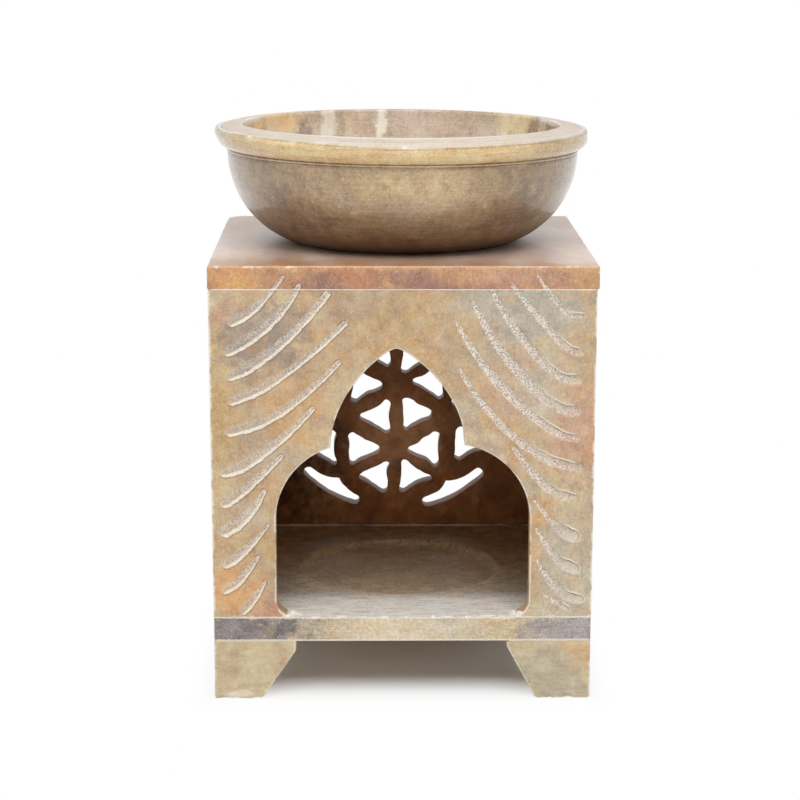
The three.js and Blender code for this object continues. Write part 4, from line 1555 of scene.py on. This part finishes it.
def clouded(stone, at, drift, ground, cloud, patches, mottle, blotch, fine):
    """Ground and cloud by a wide noise, then patches and soft mottle. Also returns the moved point."""
    moved = stone.push(stone.push(at, 0.08, drift), 0.5, 0.25 * drift)
    colour = stone.mix(stone.between(stone.grain(moved, CLOUD_SCALE, 4.0), 0.4, 0.62), ground, cloud)
    for patch_colour, centre, reach, strength in patches:
        mask = stone.patch(moved, centre, reach, blotch) * (0.75 + 0.5 * (fine - 0.5)) * strength
        colour = stone.mix(mask, colour, patch_colour)
    for fleck, scale in mottle:
        cloudlet = stone.grain(stone.stretch(moved, scale), 1.0, 4.0, 0.6)
        colour = stone.mix(0.5 * stone.between(cloudlet, 0.46, 0.72), colour, fleck)
    return colour, moved


def veins(stone, at, moved):
    """Thin lines where a wide noise passes its middle, shown only in places."""
    middle = stone.grain(moved, VEIN_SCALE, 3.0) - 0.5
    ridge = stone.node("ShaderNodeMath", {"operation": "ABSOLUTE"}, {0: middle})
    return stone.between(ridge, *VEIN_WIDTH) * stone.between(stone.grain(at, CLOUD_SCALE, 2.0), 0.46, 0.62)


print("clouds of about", round(1 / CLOUD_SCALE), "mm and veins some", round(1 / VEIN_SCALE), "mm apart")

# %% The common recipe
SAW_LINES = (3.0, 3.0, 0.3)
MOTTLE = [(HONEY, (0.13, 0.13, 0.13)), (GREY, (0.17, 0.17, 0.17))]
BUMP_DEPTH = 0.2 * MM


def soapstone(name, ground, cloud, patches, lines=SAW_LINES, mottle=MOTTLE, texture=(0.4, 0.12, 0.15),
              flecks=(0.5, 0.66), gloss=0.42, wax=(0.0, 0.1), drift=12.0, layers=(), bruise_and_highlight=CREAM, dull=None,
              sheen_smear=None, overlay=0.8, specular=0.5, veined=True, carving=False):
    """Clouds of colour, then smears that are partly painted sheen, layers that the mesh marks, some of them
    painted light and shade, veins, grain, saw lines and flecks, and the places of wear, which on the bowl and
    the base also carry painted highlights, and the carved places with their painted light and shade.
    Roughness and bump follow the same masks."""
    material = bpy.data.materials.new(name)
    material.use_nodes = True
    stone = Finish(material.node_tree)
    at = stone.place()
    blotch = stone.grain(at, 0.35, 4.0, 0.6)
    fine = stone.grain(at, 1.5, 4.0, 0.65)
    grit = stone.grain(at, 4.5, 2.0, 0.6)
    saw = stone.grain(stone.stretch(at, lines), 1.0, 3.0, 0.6)
    colour, moved = clouded(stone, at, drift, ground, cloud, patches, mottle, blotch, fine)
    if sheen_smear:
        colour, upward = smeared(stone, at, colour, sheen_smear)
        overlay = overlay - 0.55 * upward
    speckle = stone.between(0.5 * grit + 0.5 * saw, 0.4, 0.52)
    for key, dark_colour, light_colour, strength in layers:
        layer_colour = stone.mix(speckle, dark_colour, light_colour)
        colour = stone.mix(stone.attribute(key) * strength, colour, layer_colour)
    if veined:
        colour = stone.mix(0.3 * veins(stone, at, moved), colour, RUST)
    grain, sawing, relief = texture
    shade = 0.5 + grain * ((fine - 0.5) + (grit - 0.5)) + sawing * (saw - 0.5) + 0.7 * (blotch - 0.5)
    grey = stone.node("ShaderNodeCombineColor", {}, {"Red": shade, "Green": shade, "Blue": shade})
    colour = stone.mix(overlay, colour, grey, "OVERLAY")
    fleck_share, fleck_level = flecks
    pale = stone.between(stone.grain(at, 2.6, 2.0, 0.5), fleck_level, fleck_level + 0.07)
    dark = stone.between(stone.grain(at, 1.9, 3.0, 0.6), 0.71, 0.77)
    # The wear mark turns to the bruise colour; on the bowl and the base it also carries painted highlights.
    worn_and_highlight = stone.between(stone.attribute("wear") * (0.5 + fine), 0.3, 0.75)
    rough = gloss + 0.2 * (fine - 0.5) + 0.15 * (blotch - 0.5) + 0.25 * worn_and_highlight
    waxed, wax_rough = wax
    if dull:
        matt = stone.attribute(dull)
        pale = pale * (1.0 - matt)
        rough = rough + 0.25 * matt
        waxed = waxed * (1.0 - 0.9 * matt)
    colour = stone.mix(fleck_share * pale, colour, CREAM)
    colour = stone.mix(0.4 * dark, colour, SPECK)
    colour = stone.mix(0.9 * worn_and_highlight, colour, bruise_and_highlight)
    bumps = sawing * saw + 0.3 * fine + 0.25 * grit + 0.2 * pale
    if carving:
        colour, carve, powder = dusted_and_lit(stone, at, colour, fine)
        rough = rough + 0.4 * carve
        bumps = bumps + carve * powder
    bump = stone.node("ShaderNodeBump", {}, {"Strength": relief, "Distance": BUMP_DEPTH, "Height": bumps})
    shader = material.node_tree.nodes["Principled BSDF"]
    stone.fill(shader, {"Base Color": colour, "Roughness": rough, "Normal": bump})
    stone.fill(shader, {"Coat Weight": waxed, "Coat Roughness": wax_rough, "Specular IOR Level": specular})
    print(name, "is made of", len(material.node_tree.nodes), "nodes")
    return material


# %% [markdown]
# ## The stones' own colours, and painted light
# No two slabs come from the same place in the quarry. The front is tan with grey-mauve at the upper left
# and olive at the upper right, the base edge runs from slate to sand to grey, and the bowl is taupe. Each
# patch is set where the stone shows it: a centre, a reach along each axis, and a strength. Some patches
# paint light and shade instead of the stone's colour, and these are said to be painted where they are set.

# %% Finish of the front
FACE = -38
front_finish = soapstone("front_stone", TAN, SAND, [
    (GOLD, (-36, FACE, 60), (4, 9, 32), 0.6),
    (ROSE, (-35, FACE, 80), (5, 9, 5), 0.7),
    (tint(160, 143, 130), (-28, FACE, 74), (11, 9, 10), 1.1),
    (HONEY, (-21, FACE, 58), (11, 9, 7), 0.7),
    (tint(204, 190, 166), (-31, FACE, 38), (6, 9, 6), 0.7),
    (GOLD, (-29, FACE, 31), (6, 9, 5), 0.7),
    (tint(228, 174, 118), (-33, FACE, 23), (8, 9, 7), 1.2),
    (tint(192, 146, 120), (-25, FACE, 20), (4, 9, 6), 1.0),
    (tint(188, 180, 165), (24, FACE, 80), (18, 9, 8), 1.2),
    (GREY, (17, FACE, 71), (6, 9, 6), 0.7),
    (tint(216, 180, 146), (20, FACE, 64), (9, 9, 7), 0.6),
    (GREY, (12, FACE, 60), (4, 9, 5), 0.6),
    (tint(206, 194, 180), (27, FACE, 64), (9, 9, 9), 0.6),
    (ROSE, (35, FACE, 54), (9, 9, 14), 0.8),
    (HONEY, (27, FACE, 33), (4, 9, 13), 0.9),
    (tint(199, 187, 164), (34, FACE, 25), (9, 9, 18), 1.2),
    (GOLD, (-2, FACE, 76), (10, 9, 6), 0.6),
    (tint(188, 158, 128), (-12, FACE, 80), (18, 9, 7), 0.5),
    (tint(190, 164, 132), (-28, FACE, 52), (9, 9, 8), 0.4),
    (tint(200, 148, 128), (-26, -36, 19), (5, 6, 4), 0.9),
    (tint(206, 197, 170), (29, -36, 18), (7, 6, 4), 1.2),
], texture=(0.55, 0.2, 0.15), veined=False, carving=True)

# %% Finish of the roof
roof_finish = soapstone("roof_stone", tint(197, 149, 108), tint(184, 137, 100), [
    (tint(228, 168, 104), (-33, FACE, 86), (8, 6, 5), 1.1),
    (RUST, (-8, FACE, 87), (10, 8, 3), 0.6),
    (tint(152, 108, 98), (-15, FACE, 85), (8, 6, 2.4), 0.9),
    (tint(152, 108, 100), (3, FACE, 85), (11, 6, 2.6), 1.0),
    (tint(222, 172, 128), (14, FACE, 87), (6, 6, 3), 0.7),
    (ROSE, (24, FACE, 87), (14, 8, 4), 0.7),
    (MAUVE, (0, 4, 89), (46, 34, 3), 0.6),
], mottle=[(HONEY, (0.15, 0.15, 0.2)), (tint(170, 124, 104), (0.2, 0.2, 0.3))], texture=(0.75, 0.3, 0.2),
    # The smear is partly a painted sheen: a pale film over the top face.
    gloss=0.45, wax=(0.4, 0.3), sheen_smear=(tint(228, 211, 202), tint(247, 226, 210), roof_high[2] - 0.2, -38.0),
    # A painted shadow of the bowl on the top in front of it, and a painted highlight along the front top
    # arris.
    layers=[("bare", tint(170, 124, 92), tint(182, 134, 100), 0.6),
            ("arris", HONEY, tint(244, 196, 146), 0.75)],
    carving=True)

# %% Finishes of the base and the feet
base_finish = soapstone("base_stone", SAND, GREY, [
    (SLATE, (-31, FACE, 14), (14, 14, 10), 1.3),
    (tint(88, 92, 95), (-26, FACE, 16), (7, 6, 2), 0.9),
    (tint(175, 165, 162), (33, FACE, 14), (12, 14, 10), 1.3),
    (tint(236, 219, 190), (1, FACE, 14), (19, 6, 8), 1.1),
    (tint(172, 140, 104), (0, 14, 17), (60, 34, 8), 1.1),
], lines=(0.25, 2.5, 2.5), mottle=[(SAND, (0.2, 0.2, 0.2))], texture=(0.9, 0.5, 0.25), flecks=(0.6, 0.64),
    # The strip is painted light on the floor inside the doorway.
    layers=[("strip", tint(214, 200, 178), tint(255, 252, 246), 0.97),
            ("dish", tint(186, 156, 118), tint(206, 176, 136), 0.6)],
    specular=0.3, veined=False)
foot_finish = soapstone("foot_stone", tint(210, 190, 152), tint(204, 184, 148), [
    (OLIVE, (30, FACE, 5), (12, 9, 9), 1.0),
    (tint(224, 186, 138), (37, FACE, 10), (6, 9, 5), 0.9),
    (CREAM, (-32, FACE, 1), (4, 9, 2), 0.7),
], lines=(0.2, 0.2, 1.6), mottle=[(SAND, (0.15, 0.15, 0.3))], texture=(0.3, 0.3, 0.15), gloss=0.5,
    veined=False)

# %% Finishes of the other walls
wall_finish = soapstone("side_stone", TAN, SAND, [
    (HONEY, (-38, 10, 40), (9, 24, 24), 0.6),
    (MAUVE, (-38, -20, 70), (9, 18, 14), 0.7),
    (OLIVE, (38, -10, 60), (9, 24, 16), 0.7),
    (ROSE, (38, 18, 34), (9, 16, 20), 0.7),
])
back_finish = soapstone("back_stone", tint(168, 110, 64), tint(150, 97, 54), [
    # Painted light and shade: an orange glow low in the middle as painted bounce light, a dark left side as
    # painted shade by the left wall, and a pale middle as painted light from the doorway.
    (tint(186, 112, 60), (0, 36, 26), (26, 9, 8), 0.8),
    (tint(82, 47, 28), (-33, 31, 40), (28, 7, 38), 1.4),
    (tint(240, 180, 130), (0, 33, 38), (15, 8, 14), 1.2),
    (MAUVE, (20, 36, 64), (20, 9, 16), 0.3),
], mottle=[(HONEY, (0.12, 0.12, 0.1)), (UMBER, (0.16, 0.16, 0.12))], texture=(0.25, 0.12, 0.15),
    flecks=(0.2, 0.7), layers=[("bored", tint(174, 132, 108), tint(192, 152, 128), 0.9)],
    overlay=0.45, specular=0.15, veined=False)

# %% Finish of the bowl
RIM_TAN = tint(240, 205, 150)
RIM_GOLD = tint(255, 228, 168)
# Pale colour of the rim top: a painted sheen.
RIM_PAINTED_SHEEN = tint(232, 218, 203)
bowl_finish = soapstone("bowl_stone", tint(171, 143, 108), tint(181, 153, 115), [
    # Painted light on the outer flank: a pale front middle as painted highlight, darker sides and lower flank
    # as painted shade, lavender-grey at the left and right edges as painted reflection.
    (tint(222, 192, 144), (2, -36, 104), (18, 14, 6), 0.9),
    (tint(160, 138, 116), (-27, -26, 102), (13, 14, 10), 0.6),
    (tint(154, 132, 110), (28, -24, 102), (13, 14, 10), 0.6),
    (tint(190, 160, 122), (2, -34, 99), (14, 12, 5), 0.5),
    (tint(124, 94, 70), (-22, -28, 97.5), (13, 14, 6), 0.8),
    (tint(124, 96, 72), (23, -28, 97.5), (13, 14, 6), 0.8),
    (tint(192, 174, 164), (-35, -12, 103), (8, 14, 9), 0.7),
    (tint(188, 170, 160), (35, -10, 103), (9, 14, 9), 0.7),
    (tint(208, 188, 166), (0, 26, 108), (44, 18, 18), 1.2),
    (tint(255, 222, 172), (-28, 14, 108), (14, 20, 14), 1.4),
    (PLUM, (-22, 26, 108.2), (2.3, 8, 4), 1.1),
    (CREAM, (-16, 29, 110), (2.6, 6, 12), 1.3),
    (tint(222, 196, 172), (-9.5, 31, 110), (4.2, 8, 12), 1.2),
    (CREAM, (-4.2, 33, 110), (1.4, 6, 12), 1.4),
    (tint(222, 200, 182), (9, 31, 109), (13, 8, 12), 0.8),
    (tint(252, 234, 190), (25, 20, 109), (6, 14, 12), 1.2),
    (PLUM, (28.7, 16, 107), (1.0, 6, 6), 0.9),
    (CREAM, (30.6, 13, 109), (1.0, 6, 12), 1.1),
], lines=(0.1, 0.1, 3.0), mottle=[(SAND, (0.2, 0.2, 0.2)), (TAUPE, (0.3, 0.3, 0.12))],
    texture=(0.5, 0.45, 0.06), flecks=(0.45, 0.63), gloss=0.28, wax=(0.85, 0.08), drift=8.0, specular=0.2,
    # Layers: painted shade on the lower flank, the tan band, the rim top painted pale as its sheen and less
    # pale on the far side, the pale bead, and dark lines round the rim.
    layers=[("low", tint(58, 31, 15), tint(72, 42, 22), 0.9), ("band", RIM_TAN, RIM_GOLD, 0.8),
            ("pale", RIM_PAINTED_SHEEN, RIM_PAINTED_SHEEN, 0.9), ("far", tint(208, 186, 158), tint(224, 204, 178), 0.85),
            ("bead", tint(232, 204, 168), tint(244, 218, 186), 0.85),
            ("soil", UMBER, tint(128, 90, 58), 0.6)],
    # Near-white, for the chips and the painted highlights of the rim.
    bruise_and_highlight=tint(255, 251, 243), dull="matt", veined=False)

# %% [markdown]
# ## Glue finish
# Set adhesive is cream, matt, and a little dirty where dust has stuck to it, and browner towards the back.
# It needs far less than the stone: two creams, a grainy bump, a high roughness.

# %% Glue finish
glue_finish = bpy.data.materials.new("set_glue")
glue_finish.use_nodes = True
glue = Finish(glue_finish.node_tree)
glue_at = glue.place()
glue_mottle = glue.grain(glue_at, 0.9, 4.0, 0.6)
glue_colour = glue.mix(glue.between(glue_mottle, 0.3, 0.5), tint(240, 228, 206), tint(255, 250, 240))
browner_behind = glue.between(glue.axis(glue_at, "Y"), 10.0, 25.0)
glue_colour = glue.mix(0.65 * browner_behind, glue_colour, tint(186, 130, 80))
glue_bump = glue.node("ShaderNodeBump", {}, {"Strength": 0.4, "Distance": BUMP_DEPTH, "Height": glue_mottle})
glue_shader = glue_finish.node_tree.nodes["Principled BSDF"]
glue.fill(glue_shader, {"Base Color": glue_colour, "Roughness": 0.6 + 0.2 * glue_mottle, "Normal": glue_bump})
print("set_glue is made of", len(glue_finish.node_tree.nodes), "nodes")

# %% Finishes on the pieces
def coat(piece, finish):
    """The finish takes the place of whatever the piece came with."""
    piece.data.materials.clear()
    piece.data.materials.append(finish)


coat(front, front_finish)
coat(roof, roof_finish)
coat(base, base_finish)
coat(back, back_finish)
coat(bowl, bowl_finish)
for piece in sides.values():
    coat(piece, wall_finish)
for piece in feet.values():
    coat(piece, foot_finish)
for piece in (roof_bed, base_bed, fillet, lumps):
    coat(piece, glue_finish)
kept = [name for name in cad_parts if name.endswith(("seam_bond", "foot_bond"))]
for name in kept:
    coat(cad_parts[name], glue_finish)
print("solids kept with a new finish", kept)

# %% [markdown]
# ## Floor and light
# The warmer stands on white in a soft studio: a broad lamp above and in front, and a softer one at each
# side, which give the waxed bowl its pale edges. The floor keeps the shadow under the slab. What the camera
# or a reflection sees of the surroundings is plain white.

# %% Floor
FLOOR_HALF = 3.0
SHADOW_NEAR = 0.022
SHADOW_FAR = 0.044
floor_mesh = bpy.data.meshes.new("floor")
floor_corners = [(x * FLOOR_HALF, y * FLOOR_HALF, 0) for x, y in ((-1, -1), (1, -1), (1, 1), (-1, 1))]
floor_mesh.from_pydata(floor_corners, [], [(0, 1, 2, 3)])
floor = bpy.data.objects.new("floor", floor_mesh)
bpy.context.scene.collection.objects.link(floor)
floor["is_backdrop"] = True
print("floor of", 2 * FLOOR_HALF, "m")

# %% White paper on the floor
paper = bpy.data.materials.new("white_paper")
paper.use_nodes = True
sheet = Finish(paper.node_tree)
paper_shader = paper.node_tree.nodes["Principled BSDF"]
sheet.fill(paper_shader, {"Base Color": tint(250, 250, 252), "Roughness": 0.9})
paper_look = Value(sheet, paper_shader.outputs[0])
paper_glow = sheet.node("ShaderNodeEmission", {}, {"Color": WHITE, "Strength": 1.0})
spot = sheet.node("ShaderNodeTexCoord", {}, {}, "Object")
sideways = sheet.node("ShaderNodeMath", {"operation": "ABSOLUTE"}, {0: sheet.axis(spot, "X")})
lengthways = sheet.node("ShaderNodeMath", {"operation": "ABSOLUTE"}, {0: sheet.axis(spot, "Y")})
widest = sheet.node("ShaderNodeMath", {"operation": "MAXIMUM"}, {0: sideways, 1: lengthways})
seen = sheet.ray("Is Camera Ray") + sheet.ray("Is Glossy Ray") + sheet.ray("Is Transmission Ray")
glowing = seen * sheet.between(widest, SHADOW_NEAR, SHADOW_FAR)
paper_mix = sheet.node("ShaderNodeMixShader", {}, {0: glowing, 1: paper_look, 2: paper_glow})
sheet.fill(paper.node_tree.nodes["Material Output"], {"Surface": paper_mix})
floor.data.materials.append(paper)
print("the paper keeps its shadow within", SHADOW_NEAR, "m and is plain white beyond", SHADOW_FAR, "m")

# %% World
AMBIENT = 0.1
MIRRORED = 0.85
world = bpy.data.worlds.new("studio")
bpy.context.scene.world = world
world.use_nodes = True
studio = Finish(world.node_tree)
mirrored = MIRRORED * studio.ray("Is Glossy Ray")
seen = studio.ray("Is Camera Ray") + mirrored + studio.ray("Is Transmission Ray")
brightness = AMBIENT + (1 - AMBIENT) * seen
studio.fill(world.node_tree.nodes["Background"], {"Color": WHITE, "Strength": brightness})
print("light from all around", AMBIENT)

# %% Lamps
def softbox(name, spot, target, width, height, power):
    """A rectangular lamp at a spot, turned so that its face looks at the target."""
    lamp = bpy.data.lights.new(name, "AREA")
    lamp.shape = "RECTANGLE"
    lamp.size = width
    lamp.size_y = height
    lamp.energy = power
    holder = bpy.data.objects.new(name, lamp)
    back = np.array(spot, float) - np.array(target, float)
    back /= np.linalg.norm(back)
    right = np.cross((0, 0, 1), back)
    right /= np.linalg.norm(right)
    up = np.cross(back, right)
    turned = np.eye(4)
    turned[:3, :4] = np.stack([right, up, back, spot], axis=1)
    holder.matrix_world = Matrix(turned.tolist())
    bpy.context.scene.collection.objects.link(holder)
    return holder


MIDDLE = (0, 0, 0.06)
lamps = [
    softbox("over_lamp", (0, -0.5, 0.78), MIDDLE, 0.8, 0.6, 5.5),
    softbox("front_lamp", (0, -1.3, 0.4), MIDDLE, 1.0, 0.5, 1.75),
    softbox("left_lamp", (-0.8, -0.2, 0.5), MIDDLE, 0.4, 0.6, 1.1),
    softbox("right_lamp", (0.8, -0.2, 0.5), MIDDLE, 0.4, 0.6, 1.1),
    softbox("back_lamp", (0, 1.1, 0.7), MIDDLE, 1.2, 0.7, 1.2),
]
print("lamps", [lamp.name for lamp in lamps])

# %% [markdown]
# ## Camera
# The camera stands half a metre in front and looks a little down, as the eye does over a small object on
# a table. Its axes are written out as a matrix, so the turn, the dip and the slight lean stay readable.

# %% Camera
CAMERA_SPOT = np.array([-7.5, -481.9, 155.9]) * MM
CAMERA_TURN = np.radians(0.883)
CAMERA_DIP = np.radians(11.956)
CAMERA_LEAN = np.radians(0.149)
LENS = 103.46
SENSOR = 36.0
CLIP_START = 0.01

level_right = np.array([np.cos(CAMERA_TURN), -np.sin(CAMERA_TURN), 0])
level_ahead = np.array([np.sin(CAMERA_TURN), np.cos(CAMERA_TURN), 0])
ahead = np.cos(CAMERA_DIP) * level_ahead - np.sin(CAMERA_DIP) * np.array([0, 0, 1])
level_up = np.cross(level_right, ahead)
right = np.cos(CAMERA_LEAN) * level_right + np.sin(CAMERA_LEAN) * level_up
up = np.cos(CAMERA_LEAN) * level_up - np.sin(CAMERA_LEAN) * level_right
stand = np.eye(4)
stand[:3, :4] = np.stack([right, up, -ahead, CAMERA_SPOT], axis=1)
lens = bpy.data.cameras.new("camera")
lens.lens = LENS
lens.sensor_width = SENSOR
lens.clip_start = CLIP_START
camera = bpy.data.objects.new("camera", lens)
camera.matrix_world = Matrix(stand.tolist())
bpy.context.scene.collection.objects.link(camera)
bpy.context.scene.camera = camera
bpy.context.scene.view_settings.view_transform = "Standard"
print("camera looks along", ahead.round(3))

# %% Sizes, and the end
low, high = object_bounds()
print("box of the visual model", [round(value, 4) for value in (*low, *high)])
